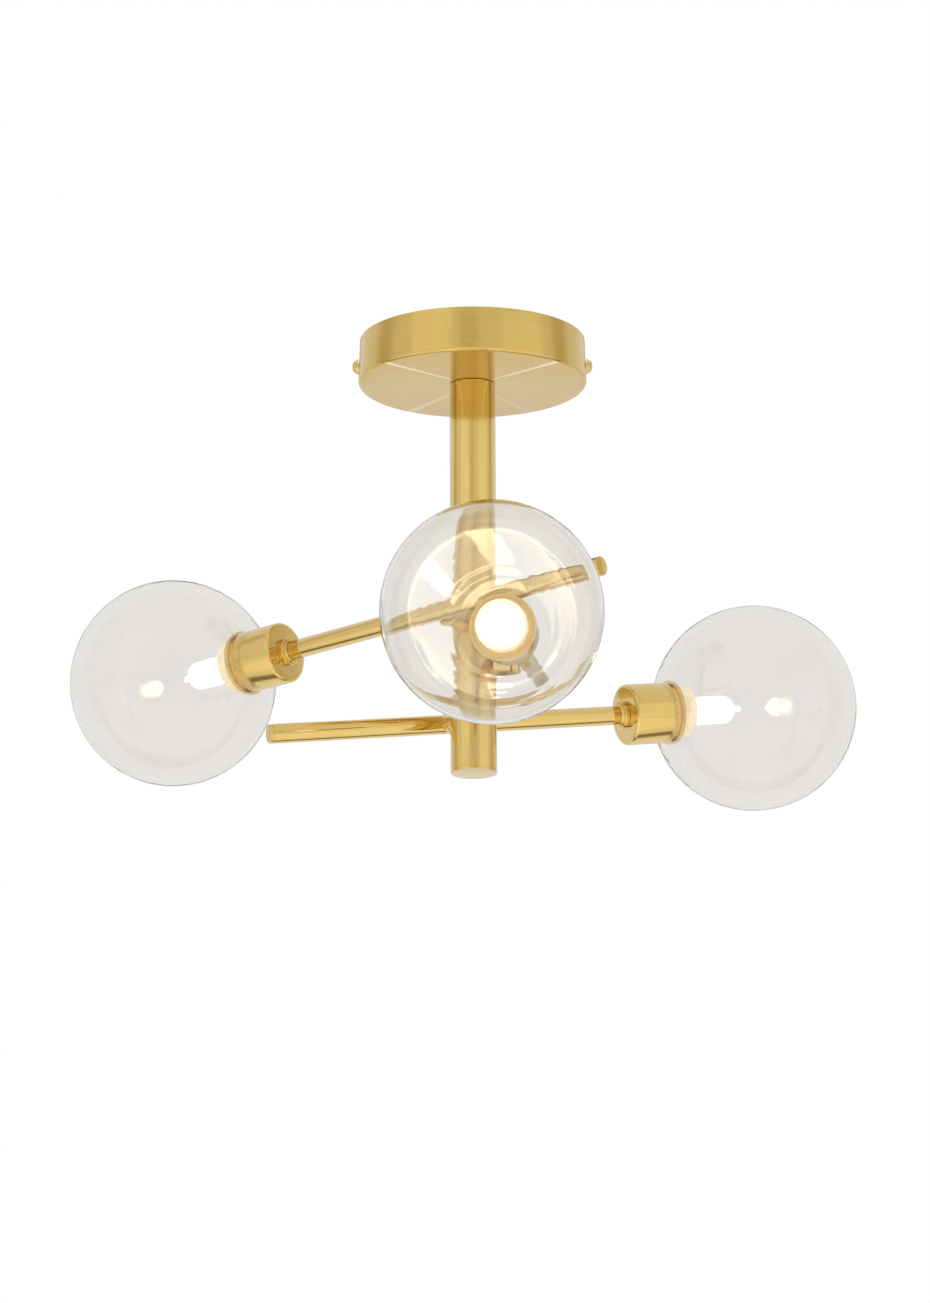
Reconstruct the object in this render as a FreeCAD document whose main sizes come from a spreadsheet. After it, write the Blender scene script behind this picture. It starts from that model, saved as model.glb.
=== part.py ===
"""Semi flush ceiling light: round canopy, column, and three swivelling arms with glass globes.

Millimetres. The origin is the middle of the ceiling plane, +Z is up, and the light hangs below it.
Each arm has its own frame: origin on the swivel axis, +X along the arm to the globe, +Y away from
the column. The fixed half of a swivel uses the same frame without the arm's tilt.
"""
import FreeCAD, Part
import Sketcher
import math
import operator
import os

os.makedirs("parts", exist_ok=True)
doc = FreeCAD.newDocument("ceiling_light")

# ---------------------------------------------------------------- driving dimensions

DIMENSIONS = [
    ("canopy_od", 120.0, "canopy outside diameter at its lower edge"),
    ("canopy_taper", 0.8, "canopy radius at the lower edge less that at the ceiling"),
    ("canopy_depth", 24.0, "ceiling to the canopy's flat underside"),
    ("canopy_wall", 1.2, "canopy sheet thickness"),
    ("canopy_edge", 2.0, "outer radius of the canopy's lower edge"),
    ("side_screw_drop", 14.0, "ceiling to the side screws"),
    ("side_screw_thread", 4.0, "side screw thread"),
    ("side_screw_hole", 4.6, "canopy hole for a side screw"),
    ("side_head_od", 6.4, "side screw head diameter"),
    ("side_head_depth", 1.9, "side screw head height"),
    ("side_washer_od", 8.4, "side screw washer diameter"),
    ("side_washer_depth", 1.3, "side screw washer thickness"),
    ("side_screw_reach", 5.0, "side screw thread past the bracket tab"),
    ("tab_gap", 0.2, "bracket tab corners to the canopy's inside"),
    ("strap_width", 24.0, "bracket width"),
    ("strap_thick", 2.0, "bracket thickness"),
    ("tab_drop", 20.0, "ceiling to the end of a bracket tab"),
    ("slot_spacing", 78.0, "between the middles of the ceiling slots"),
    ("slot_width", 5.0, "ceiling slot width"),
    ("slot_length", 16.0, "ceiling slot length, end to end"),
    ("cable_hole", 12.0, "bracket hole for the supply cable"),
    ("earth_offset", 20.0, "earth screw from the middle of the bracket"),
    ("earth_thread", 4.0, "earth screw thread"),
    ("earth_head_od", 8.0, "earth screw head diameter"),
    ("earth_head_depth", 2.4, "earth screw head height"),
    ("block_gap", 11.0, "middle of the bracket to the terminal block"),
    ("block_width", 16.0, "terminal block, along the leads"),
    ("block_length", 26.0, "terminal block, across its three ways"),
    ("block_depth", 12.0, "terminal block height"),
    ("block_pitch", 8.0, "between the ways of the terminal block"),
    ("block_entry", 3.2, "wire entry diameter"),
    ("block_entry_depth", 5.0, "wire entry depth"),
    ("block_screw_od", 3.4, "clamp screw diameter"),
    ("block_screw_well", 1.0, "clamp screw below the block's face"),
    ("block_screw_row", 9.0, "between the two rows of clamp screws"),
    ("column_od", 24.0, "column outside diameter"),
    ("column_wall", 1.2, "column tube wall"),
    ("column_bottom", 234.0, "ceiling to the column's lower face"),
    ("end_cap_face", 1.5, "thickness of the column end cap's disc"),
    ("end_cap_spigot", 6.0, "length of the column end cap's spigot"),
    ("end_cap_wall", 1.5, "wall of the column end cap's spigot"),
    ("plug_length", 12.0, "threaded plug in the column's top"),
    ("nipple_od", 10.0, "canopy nipple thread"),
    ("nipple_bore", 7.6, "canopy nipple bore"),
    ("nipple_top", 14.0, "ceiling to the top of the canopy nipple"),
    ("nipple_grip", 10.0, "canopy nipple inside the column plug"),
    ("nut_flats", 14.0, "canopy nut across flats"),
    ("nut_depth", 3.0, "canopy nut thickness"),
    ("swivel_top", 153.0, "ceiling to the highest swivel"),
    ("swivel_pitch", 24.0, "height between swivels"),
    ("swivel_heading", 113.3, "direction of the lowest swivel, from +X"),
    ("swivel_reach", 12.5, "column surface to arm tube surface"),
    ("boss_od", 15.0, "swivel boss and hub diameter"),
    ("hub_disc", 3.8, "thickness of the hub's disc"),
    ("hub_seat", 0.4, "depth of the hub's saddle for the arm tube"),
    ("washer_od", 11.0, "friction washer diameter"),
    ("washer_depth", 0.5, "friction washer thickness"),
    ("stem_od", 8.0, "swivel stem diameter"),
    ("stem_bore", 5.0, "swivel stem bore"),
    ("stem_reach", 5.4, "column axis to the end of a stem"),
    ("saddle_od", 13.0, "saddle washer diameter"),
    ("saddle_face", 8.1, "column axis to the saddle washer's flat face"),
    ("stem_nut_flats", 11.5, "stem nut across flats"),
    ("stem_nut_depth", 2.2, "stem nut thickness"),
    ("angle_upper", -3.6, "upper arm, globe end above level"),
    ("angle_front", -6.1, "front arm, globe end above level"),
    ("angle_lower", 8.3, "lower arm, globe end above level"),
    ("arm_od", 10.0, "arm tube outside diameter"),
    ("arm_wall", 1.0, "arm tube wall"),
    ("arm_tail", 103.0, "swivel axis to the arm's free end"),
    ("arm_reach", 178.0, "swivel axis to the globe's middle"),
    ("arm_cap_face", 1.2, "thickness of an arm end cap's disc"),
    ("arm_cap_spigot", 5.0, "length of an arm end cap's spigot"),
    ("collar_od", 14.6, "collar diameter at the cup"),
    ("collar_depth", 3.0, "thickness of the collar's wide step"),
    ("collar_step_od", 12.4, "collar diameter at its narrow step"),
    ("collar_step_depth", 1.5, "thickness of the collar's narrow step"),
    ("collar_chamfer", 0.4, "chamfer on the collar's edges"),
    ("arm_socket", 1.8, "arm tube inside the collar"),
    ("cup_od", 32.2, "lampholder cup outside diameter"),
    ("cup_wall", 1.0, "lampholder cup wall"),
    ("cup_length", 24.0, "lampholder cup length"),
    ("cup_edge", 1.6, "rounding of the cup's back edge"),
    ("link_od", 7.9, "threaded link between arm and lampholder"),
    ("link_bore", 4.5, "bore of the threaded link"),
    ("link_in_arm", 9.0, "threaded link inside the arm tube"),
    ("link_in_holder", 5.0, "threaded link inside the lampholder"),
    ("holder_od", 26.0, "lampholder sleeve diameter"),
    ("holder_boss_od", 16.0, "lampholder back boss diameter"),
    ("holder_boss_depth", 2.5, "lampholder back boss thickness"),
    ("holder_front", 13.0, "lampholder sleeve past the cup's mouth"),
    ("holder_recess_od", 17.8, "recess that the lamp stands in"),
    ("holder_recess_depth", 11.0, "depth of that recess"),
    ("holder_floor", 3.0, "lampholder floor behind the lamp pins"),
    ("thread_pitch", 2.0, "pitch of the sleeve's round thread grooves"),
    ("thread_depth", 0.5, "depth of the sleeve's thread grooves"),
    ("slot_long", 13.6, "lamp base slot, long side"),
    ("slot_short", 6.0, "lamp base slot, short side"),
    ("ring_od", 34.0, "shade ring outside diameter"),
    ("ring_depth", 2.8, "shade ring thickness"),
    ("ring_chamfer", 0.6, "chamfer on the shade ring's front edge"),
    ("globe_od", 110.0, "glass globe outside diameter"),
    ("globe_wall", 1.5, "glass globe wall"),
    ("globe_hole", 27.4, "hole in the glass globe"),
    ("lamp_od", 14.6, "lamp capsule diameter"),
    ("lamp_wall", 1.0, "lamp capsule wall"),
    ("lamp_length", 48.4, "lamp length from its base to its tip"),
    ("lamp_base_long", 12.6, "lamp pinch, long side"),
    ("lamp_base_short", 4.6, "lamp pinch, short side"),
    ("lamp_base_depth", 5.5, "lamp pinch length"),
    ("lamp_shoulder", 6.0, "radius of the lamp's front shoulder"),
    ("lamp_tip_od", 3.4, "lamp exhaust tip diameter"),
    ("lamp_tip_length", 5.0, "lamp exhaust tip length"),
    ("pin_od", 1.3, "lamp pin diameter"),
    ("pin_spacing", 9.0, "between the lamp pins"),
    ("pin_length", 6.0, "lamp pin length"),
    ("filament_od", 1.5, "filament coil diameter"),
    ("filament_spread", 5.0, "between the filament's two legs"),
    ("filament_length", 24.0, "filament leg length"),
    ("lead_od", 2.8, "sheathed lead diameter"),
    ("lead_ring", 2.2, "column axis to each lead inside the column"),
    ("arm_bend", 3.4, "bend radius of a lead in an arm"),
    ("column_bend", 2.8, "bend radius of a lead in the column"),
    ("block_run", 3.0, "straight run of a lead before the terminal block"),
    ("lead_drop", 7.0, "ceiling to the leads at the terminal block"),
    ("fit", 0.05, "radial clearance of a screwed or pressed fit"),
    ("running", 0.08, "radial clearance of the swivel stem"),
    ("seat", 0.2, "clearance where the glass and curved parts rest"),
]


class Size:
    """A number, with the text that binds it to the sheet."""

    def __init__(self, value, text):
        self.value = value
        self.text = text

    def __add__(self, other):
        return joined(self, "+", other)

    def __radd__(self, other):
        return joined(other, "+", self)

    def __sub__(self, other):
        return joined(self, "-", other)

    def __rsub__(self, other):
        return joined(other, "-", self)

    def __mul__(self, other):
        return joined(self, "*", other)

    def __rmul__(self, other):
        return joined(other, "*", self)

    def __truediv__(self, other):
        return joined(self, "/", other)

    def __neg__(self):
        return Size(-self.value, "(-" + self.text + ")")


SIGNS = {"+": operator.add, "-": operator.sub, "*": operator.mul, "/": operator.truediv}


def as_size(number):
    """A plain number as a size without a cell."""
    return number if isinstance(number, Size) else Size(float(number), "(" + repr(float(number)) + ")")


def joined(left, sign, right):
    """Two sizes added, subtracted, multiplied or divided."""
    left = as_size(left)
    right = as_size(right)
    value = SIGNS[sign](left.value, right.value)
    return Size(value, "(" + left.text + " " + sign + " " + right.text + ")")


def leg(slant, side):
    """The third side of a right triangle, from its long side and one short side."""
    square = slant * slant - side * side
    return Size(math.sqrt(square.value), "sqrt(" + square.text + ")")


sheet = doc.addObject("Spreadsheet::Sheet", "sizes")
at = {}
for row, (alias, number, note) in enumerate(DIMENSIONS, start=1):
    sheet.set("A" + str(row), alias.replace("_", " "))
    sheet.set("B" + str(row), str(number))
    sheet.set("C" + str(row), note)
    sheet.setAlias("B" + str(row), alias)
    at[alias] = Size(number, "sizes." + alias)
doc.recompute()

# ---------------------------------------------------------------- building blocks

ORIGIN = FreeCAD.Vector(0, 0, 0)
X_AXIS = FreeCAD.Vector(1, 0, 0)
Y_AXIS = FreeCAD.Vector(0, 1, 0)
Z_AXIS = FreeCAD.Vector(0, 0, 1)
ALONG = {
    "Z": FreeCAD.Rotation(),
    "X": FreeCAD.Rotation(Z_AXIS, X_AXIS),
    "Y": FreeCAD.Rotation(Z_AXIS, Y_AXIS),
}
nodes = {}


def bind(piece, name, size):
    """Sets a property and links it to the sheet."""
    piece.setExpression(name, as_size(size).text)


def put(piece, start):
    """Places a piece at a corner or an axis point given by sizes."""
    for letter, size in zip("xyz", start):
        bind(piece, "Placement.Base." + letter, size)


def cylinder(name, diameter, length, start=(0, 0, 0), along="Z"):
    """A round bar from start, along an axis."""
    piece = doc.addObject("Part::Cylinder", name)
    piece.Placement = FreeCAD.Placement(ORIGIN, ALONG[along])
    bind(piece, "Radius", diameter / 2)
    bind(piece, "Height", length)
    put(piece, start)
    return piece


def block(name, length, width, height, start):
    """A box from its lowest corner."""
    piece = doc.addObject("Part::Box", name)
    bind(piece, "Length", length)
    bind(piece, "Width", width)
    bind(piece, "Height", height)
    put(piece, start)
    return piece


def hexagon(name, flats, length, start, along="Z"):
    """A hexagon bar from start, along an axis."""
    piece = doc.addObject("Part::Prism", name)
    piece.Polygon = 6
    piece.Placement = FreeCAD.Placement(ORIGIN, ALONG[along])
    bind(piece, "Circumradius", flats / math.sqrt(3))
    bind(piece, "Height", length)
    put(piece, start)
    return piece


def cut(name, base, tool):
    """The base without the tool."""
    piece = doc.addObject("Part::Cut", name)
    piece.Base = base
    piece.Tool = tool
    return piece


def joined_solids(name, pieces):
    """Several solids as one."""
    piece = doc.addObject("Part::MultiFuse", name)
    piece.Shapes = pieces
    return piece


def loose_group(name, pieces):
    """Separate solids under one name."""
    piece = doc.addObject("Part::Compound", name)
    piece.Links = pieces
    return piece


def origin_plane(body, role):
    """One of a body's own origin planes."""
    return next(plane for plane in body.Origin.OriginFeatures if plane.Role == role)


def arc_centre(start, end, radius, left):
    """The centre of the arc under a half circle from start to end, on the left or the right."""
    chord = end - start
    middle = start + chord * 0.5
    side = FreeCAD.Vector(-chord.y, chord.x, 0)
    side.normalize()
    rise = math.sqrt(max(radius * radius - chord.Length * chord.Length / 4, 0))
    return middle + side * (rise if left else -rise)


def outline(body, role, corners):
    """A closed sketch on a body's origin plane.

    A corner is (along, across) or (along, across, radius, turn), where the edge that leaves it is
    an arc of that radius turning left or right.
    """
    sketch = body.newObject("Sketcher::SketchObject", body.Name + "_outline")
    sketch.AttachmentSupport = [(origin_plane(body, role), "")]
    sketch.MapMode = "FlatFace"
    points = [FreeCAD.Vector(as_size(corner[0]).value, as_size(corner[1]).value, 0) for corner in corners]
    heads = []
    tails = []
    for number, corner in enumerate(corners):
        start = points[number]
        end = points[(number + 1) % len(points)]
        if len(corner) == 2:
            edge = sketch.addGeometry(Part.LineSegment(start, end), False)
            heads.append((edge, 1))
            tails.append((edge, 2))
            continue
        left = corner[3] == "left"
        radius = as_size(corner[2]).value
        centre = arc_centre(start, end, radius, left)
        first, last = (start, end) if left else (end, start)
        circle = Part.Circle(centre, Z_AXIS, radius)
        from_angle = math.atan2(first.y - centre.y, first.x - centre.x)
        to_angle = math.atan2(last.y - centre.y, last.x - centre.x)
        edge = sketch.addGeometry(Part.ArcOfCircle(circle, from_angle, to_angle), False)
        heads.append((edge, 1 if left else 2))
        tails.append((edge, 2 if left else 1))
        mark = sketch.addConstraint(Sketcher.Constraint("Radius", edge, radius))
        sketch.setExpression("Constraints[" + str(mark) + "]", as_size(corner[2]).text)
    for number, corner in enumerate(corners):
        sketch.addConstraint(Sketcher.Constraint("Coincident", *tails[number - 1], *heads[number]))
        for kind, size, axis in (("DistanceX", corner[0], -2), ("DistanceY", corner[1], -1)):
            size = as_size(size)
            if size.value == 0:
                sketch.addConstraint(Sketcher.Constraint("PointOnObject", *heads[number], axis))
                continue
            mark = sketch.addConstraint(Sketcher.Constraint(kind, -1, 1, *heads[number], size.value))
            sketch.setExpression("Constraints[" + str(mark) + "]", size.text)
    return sketch


def turned(name, role, axis, corners):
    """A piece turned on a lathe, from its half outline."""
    body = doc.addObject("PartDesign::Body", name)
    sketch = outline(body, role, corners)
    turn = body.newObject("PartDesign::Revolution", name + "_turn")
    turn.Profile = sketch
    turn.ReferenceAxis = (sketch, [axis])
    turn.Angle = 360
    return body


def turned_upright(name, corners):
    """Turned about the column's axis; a corner is (radius, height)."""
    return turned(name, "XZ_Plane", "V_Axis", corners)


def turned_along(name, corners):
    """Turned about an arm's axis; a corner is (distance along the arm, radius)."""
    return turned(name, "XZ_Plane", "H_Axis", corners)


def node(name, piece, frame=None):
    """Names a finished sub-part, and places it in its frame."""
    piece.Label = name
    if frame is not None:
        piece.Placement = frame
    nodes[name] = piece


def lead_path(points, radii):
    """A wire of straight runs through the points, with a tangent arc at each inner point."""
    edges = []
    start = points[0]
    for before, corner, after, radius in zip(points, points[1:], points[2:], radii):
        towards = (corner - before).normalize()
        onwards = (after - corner).normalize()
        turn = towards.getAngle(onwards)
        trim = radius * math.tan(turn / 2)
        enter = corner - towards * trim
        leave = corner + onwards * trim
        inward = (onwards - towards).normalize()
        middle = corner + inward * (radius / math.cos(turn / 2) - radius)
        edges.append(Part.LineSegment(start, enter).toShape())
        edges.append(Part.Arc(enter, middle, leave).toShape())
        start = leave
    edges.append(Part.LineSegment(start, points[-1]).toShape())
    return Part.Wire(edges)


def lead(points, radii):
    """A sheathed lead along its path."""
    path = lead_path(points, radii)
    first = points[1] - points[0]
    ring = Part.Circle(points[0], first, at["lead_od"].value / 2)
    section = Part.Wire([ring.toShape()])
    return path.makePipeShell([section], True, False)


# ---------------------------------------------------------------- shared heights and places

swivel_offset = at["column_od"] / 2 + at["swivel_reach"] + at["arm_od"] / 2
hub_face = -(at["arm_od"] / 2 - at["hub_seat"])
hub_back = hub_face - at["hub_disc"]
boss_face = hub_back - at["fit"] - at["washer_depth"]
column_bore = at["column_od"] - 2 * at["column_wall"]
glass_seat = leg(at["globe_od"] / 2, at["cup_od"] / 2 - at["cup_wall"])
cup_mouth = at["arm_reach"] - glass_seat - at["seat"]
cup_back = cup_mouth - at["cup_length"]
arm_end = cup_back - at["collar_depth"] + at["arm_socket"]
canopy_floor = -(at["canopy_depth"] - at["canopy_wall"])
rim_radius = at["canopy_od"] / 2 - at["canopy_taper"]
strap_half = leg(rim_radius - at["canopy_wall"] - at["tab_gap"], at["strap_width"] / 2)
strap_span = 2 * strap_half

ARMS = [
    ("lower", 0, 2, "angle_lower"),
    ("upper", 120, 0, "angle_upper"),
    ("front", 240, 1, "angle_front"),
]


def swivel_frame(turn, step):
    """The level frame of a swivel: +X level and across the column, +Y away from it."""
    heading = at["swivel_heading"].value + turn
    outward = FreeCAD.Vector(math.cos(math.radians(heading)), math.sin(math.radians(heading)), 0)
    drop = at["swivel_top"].value + step * at["swivel_pitch"].value
    return FreeCAD.Placement(
        outward * swivel_offset.value - Z_AXIS * drop, FreeCAD.Rotation(Z_AXIS, heading - 90)
    )


def arm_frame(turn, step, tilt):
    """A swivel's frame, tilted about the swivel by the arm's rest angle."""
    lift = FreeCAD.Placement(ORIGIN, FreeCAD.Rotation(Y_AXIS, -at[tilt].value))
    return swivel_frame(turn, step).multiply(lift)


# ---------------------------------------------------------------- canopy and ceiling bracket


def side_radius(drop):
    """The canopy's outer radius at a depth below the ceiling."""
    return rim_radius + at["canopy_taper"] * drop / (at["canopy_depth"] - at["canopy_edge"])


def make_canopy():
    rim = rim_radius
    foot = at["canopy_od"] / 2
    depth = at["canopy_depth"]
    wall = at["canopy_wall"]
    edge = at["canopy_edge"]
    inner_edge = edge - wall
    shell = turned_upright(
        "canopy_shell",
        [
            (rim - wall, 0),
            (rim, 0),
            (foot, -(depth - edge), edge, "right"),
            (foot - edge, -depth),
            (at["nipple_od"] / 2 + at["fit"], -depth),
            (at["nipple_od"] / 2 + at["fit"], -(depth - wall)),
            (foot - wall - inner_edge, -(depth - wall), inner_edge, "left"),
            (foot - wall, -(depth - wall - inner_edge)),
        ],
    )
    holes = cylinder(
        "side_holes",
        at["side_screw_hole"],
        at["canopy_od"] + 2 * at["canopy_wall"],
        (-(at["canopy_od"] / 2 + at["canopy_wall"]), 0, -at["side_screw_drop"]),
        "X",
    )
    node("canopy", cut("canopy_drilled", shell, holes))


def slot_tool(name, middle):
    """A ceiling slot through the strap, along X."""
    straight = at["slot_length"] - at["slot_width"]
    deep = at["strap_thick"] * 3
    top = -at["strap_thick"] * 2
    near = middle - straight / 2
    far = middle + straight / 2
    width = at["slot_width"]
    parts = [
        block(name + "_run", straight, width, deep, (near, -width / 2, top)),
        cylinder(name + "_near", width, deep, (near, 0, top)),
        cylinder(name + "_far", width, deep, (far, 0, top)),
    ]
    return joined_solids(name, parts)


def make_bracket():
    half = strap_half
    thick = at["strap_thick"]
    width = at["strap_width"]
    blank = joined_solids(
        "strap_blank",
        [
            block("strap", strap_span, width, thick, (-half, -width / 2, -thick)),
            block("left_tab", thick, width, at["tab_drop"], (-half, -width / 2, -at["tab_drop"])),
            block("right_tab", thick, width, at["tab_drop"], (half - thick, -width / 2, -at["tab_drop"])),
        ],
    )
    below = -2 * thick
    earth_od = at["earth_thread"] + 2 * at["fit"]
    tab_od = at["side_screw_thread"] + 2 * at["fit"]
    tab_start = (-half - thick, 0, -at["side_screw_drop"])
    tools = [
        slot_tool("left_slot", -at["slot_spacing"] / 2),
        slot_tool("right_slot", at["slot_spacing"] / 2),
        cylinder("cable_way", at["cable_hole"], 3 * thick, (0, 0, below)),
        cylinder("earth_hole", earth_od, 3 * thick, (-at["earth_offset"], 0, below)),
        cylinder("tab_threads", tab_od, strap_span + 2 * thick, tab_start, "X"),
    ]
    node("ceiling_bracket", cut("bracket_cut", blank, joined_solids("bracket_tools", tools)))


def screw_outline(seat, head_od, head_depth, shank_od, shank_end):
    """Half outline of a domed screw whose head sits on seat and whose shank ends at shank_end."""
    brim = head_depth / 3
    return [
        (shank_end, 0),
        (shank_end, shank_od / 2),
        (seat, shank_od / 2),
        (seat, head_od / 2),
        (seat + brim, head_od / 2, head_od / 2, "right"),
        (seat + head_depth, head_od / 8),
        (seat + head_depth, 0),
    ]


def make_side_screws():
    seat = side_radius(at["side_screw_drop"]) + at["seat"]
    head_seat = seat + at["side_washer_depth"]
    shank_end = strap_half - at["strap_thick"] - at["side_screw_reach"]
    height = FreeCAD.Vector(0, 0, -at["side_screw_drop"].value)
    screws = []
    washers = []
    for side, turn in (("right", 0), ("left", 180)):
        frame = FreeCAD.Placement(height, FreeCAD.Rotation(Z_AXIS, turn))
        screw = turned_along(
            side + "_side_screw",
            screw_outline(
                head_seat, at["side_head_od"], at["side_head_depth"], at["side_screw_thread"], shank_end
            ),
        )
        screw.Placement = frame
        screws.append(screw)
        bore = at["side_screw_thread"] / 2 + at["fit"]
        washer = turned_along(
            side + "_side_washer",
            [
                (seat, bore),
                (seat, at["side_washer_od"] / 2),
                (seat + at["side_washer_depth"] * 0.6, at["side_washer_od"] / 2),
                (seat + at["side_washer_depth"], at["side_head_od"] / 2 + at["fit"]),
                (seat + at["side_washer_depth"], bore),
            ],
        )
        washer.Placement = frame
        washers.append(washer)
    node("canopy_side_screws", loose_group("side_screws", screws))
    node("canopy_side_washers", loose_group("side_washers", washers))


def make_terminals():
    near = at["block_gap"]
    far = near + at["block_width"]
    bottom = -at["strap_thick"] - at["block_depth"]
    blank = block(
        "block_blank",
        at["block_width"],
        at["block_length"],
        at["block_depth"],
        (near, -at["block_length"] / 2, bottom),
    )
    level = -at["lead_drop"]
    floor = bottom + at["block_screw_well"]
    screw_length = level - at["lead_od"] / 2 - at["seat"] - floor
    well_od = at["block_screw_od"] + 2 * at["fit"]
    tools = []
    screws = []
    for way in (-1, 0, 1):
        across = way * at["block_pitch"]
        for side, start in (("in", near), ("out", far - at["block_entry_depth"])):
            name = "way_%d_%s" % (way + 2, side)
            place = (start, across, level)
            tools.append(cylinder(name, at["block_entry"], at["block_entry_depth"], place, "X"))
        for row in (-1, 1):
            name = "_%d_%d" % (way + 2, row + 2)
            along = (near + far + row * at["block_screw_row"]) / 2
            tools.append(cylinder("well" + name, well_od, level - bottom, (along, across, bottom)))
            place = (along, across, floor)
            screws.append(cylinder("clamp" + name, at["block_screw_od"], screw_length, place))
    node("terminal_block", cut("block_drilled", blank, joined_solids("block_tools", tools)))
    node("terminal_screws", loose_group("clamp_screws", screws))


def make_earth_screw():
    seat = -at["strap_thick"]
    screw = turned_upright(
        "earth_turned",
        [
            (0, seat - at["earth_head_depth"]),
            (at["earth_head_od"] / 2, seat - at["earth_head_depth"]),
            (at["earth_head_od"] / 2, seat),
            (at["earth_thread"] / 2, seat),
            (at["earth_thread"] / 2, 0),
            (0, 0),
        ],
    )
    node("earth_screw", screw, FreeCAD.Placement(-X_AXIS * at["earth_offset"].value, FreeCAD.Rotation()))


# ---------------------------------------------------------------- column


def make_column():
    top = -at["canopy_depth"]
    foot = -(at["column_bottom"] - at["end_cap_face"])
    tube = cut(
        "column_blank",
        cylinder("column_outside", at["column_od"], top - foot, (0, 0, foot)),
        cylinder("column_inside", column_bore, top - foot, (0, 0, foot)),
    )
    holes = []
    for name, turn, step, tilt in ARMS:
        hole = cylinder(name + "_stem_hole", at["stem_od"] + 2 * at["running"], swivel_offset, (0, 0, 0), "Y")
        frame = swivel_frame(turn, step)
        axis_point = frame.Base - frame.Rotation.multVec(Y_AXIS) * swivel_offset.value
        holder = loose_group(name + "_stem_hole_placed", [hole])
        holder.Placement = FreeCAD.Placement(axis_point, frame.Rotation)
        holes.append(holder)
    node("column_tube", cut("column_drilled", tube, joined_solids("stem_holes", holes)))

    spigot = column_bore / 2 - at["fit"]
    node(
        "column_end_cap",
        turned_upright(
            "column_cap_turned",
            [
                (0, -at["column_bottom"]),
                (at["column_od"] / 2, -at["column_bottom"]),
                (at["column_od"] / 2, foot),
                (spigot, foot),
                (spigot, foot + at["end_cap_spigot"]),
                (spigot - at["end_cap_wall"], foot + at["end_cap_spigot"]),
                (spigot - at["end_cap_wall"], foot),
                (0, foot),
            ],
        ),
    )
    bore = at["nipple_od"] / 2 + at["fit"]
    node(
        "column_plug",
        turned_upright(
            "plug_turned",
            [
                (bore, top),
                (bore, top - at["plug_length"]),
                (column_bore / 2 - at["fit"], top - at["plug_length"]),
                (column_bore / 2 - at["fit"], top),
            ],
        ),
    )
    nipple_length = at["canopy_depth"] + at["nipple_grip"] - at["nipple_top"]
    nipple_foot = top - at["nipple_grip"]
    node(
        "canopy_nipple",
        cut(
            "nipple_bored",
            cylinder("nipple_bar", at["nipple_od"], nipple_length, (0, 0, nipple_foot)),
            cylinder("nipple_hole", at["nipple_bore"], nipple_length, (0, 0, nipple_foot)),
        ),
    )
    thread = at["nipple_od"] + 2 * at["fit"]
    seat = (0, 0, canopy_floor)
    node(
        "canopy_nut",
        cut(
            "canopy_nut_bored",
            hexagon("canopy_nut_bar", at["nut_flats"], at["nut_depth"], seat),
            cylinder("canopy_nut_hole", thread, at["nut_depth"], seat),
        ),
    )


# ---------------------------------------------------------------- swivels


def make_fixed_swivels():
    washers = []
    saddles = []
    stem_hole = at["stem_od"] + 2 * at["running"]
    boss_length = swivel_offset + boss_face
    middle = (0, -swivel_offset, 0)
    for name, turn, step, tilt in ARMS:
        frame = swivel_frame(turn, step)
        boss = cut(
            name + "_boss_bored",
            cylinder(name + "_boss_bar", at["boss_od"], boss_length, middle, "Y"),
            joined_solids(
                name + "_boss_tools",
                [
                    cylinder(name + "_boss_hole", stem_hole, boss_length, middle, "Y"),
                    cylinder(
                        name + "_boss_saddle",
                        at["column_od"] + 2 * at["fit"],
                        2 * at["boss_od"],
                        (0, -swivel_offset, -at["boss_od"]),
                    ),
                ],
            ),
        )
        node("swivel_boss_" + name, boss, frame)

        washer = cut(
            name + "_washer_bored",
            cylinder(name + "_washer_bar", at["washer_od"], at["washer_depth"], (0, boss_face, 0), "Y"),
            cylinder(name + "_washer_hole", stem_hole, at["washer_depth"], (0, boss_face, 0), "Y"),
        )
        washer.Placement = frame
        washers.append(washer)

        thick = column_bore / 2 - at["saddle_face"]
        face = (0, at["saddle_face"] - swivel_offset, 0)
        plate = doc.addObject("Part::MultiCommon", name + "_saddle_plate")
        plate.Shapes = [
            cylinder(name + "_saddle_bar", at["saddle_od"], thick, face, "Y"),
            cylinder(
                name + "_saddle_curve",
                column_bore - 2 * at["fit"],
                2 * at["saddle_od"],
                (0, -swivel_offset, -at["saddle_od"]),
            ),
        ]
        saddle = cut(
            name + "_saddle_bored",
            plate,
            cylinder(name + "_saddle_hole", stem_hole, swivel_offset, middle, "Y"),
        )
        saddle.Placement = frame
        saddles.append(saddle)
    node("friction_washers", loose_group("friction_washer_set", washers))
    node("saddle_washers", loose_group("saddle_washer_set", saddles))


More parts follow.
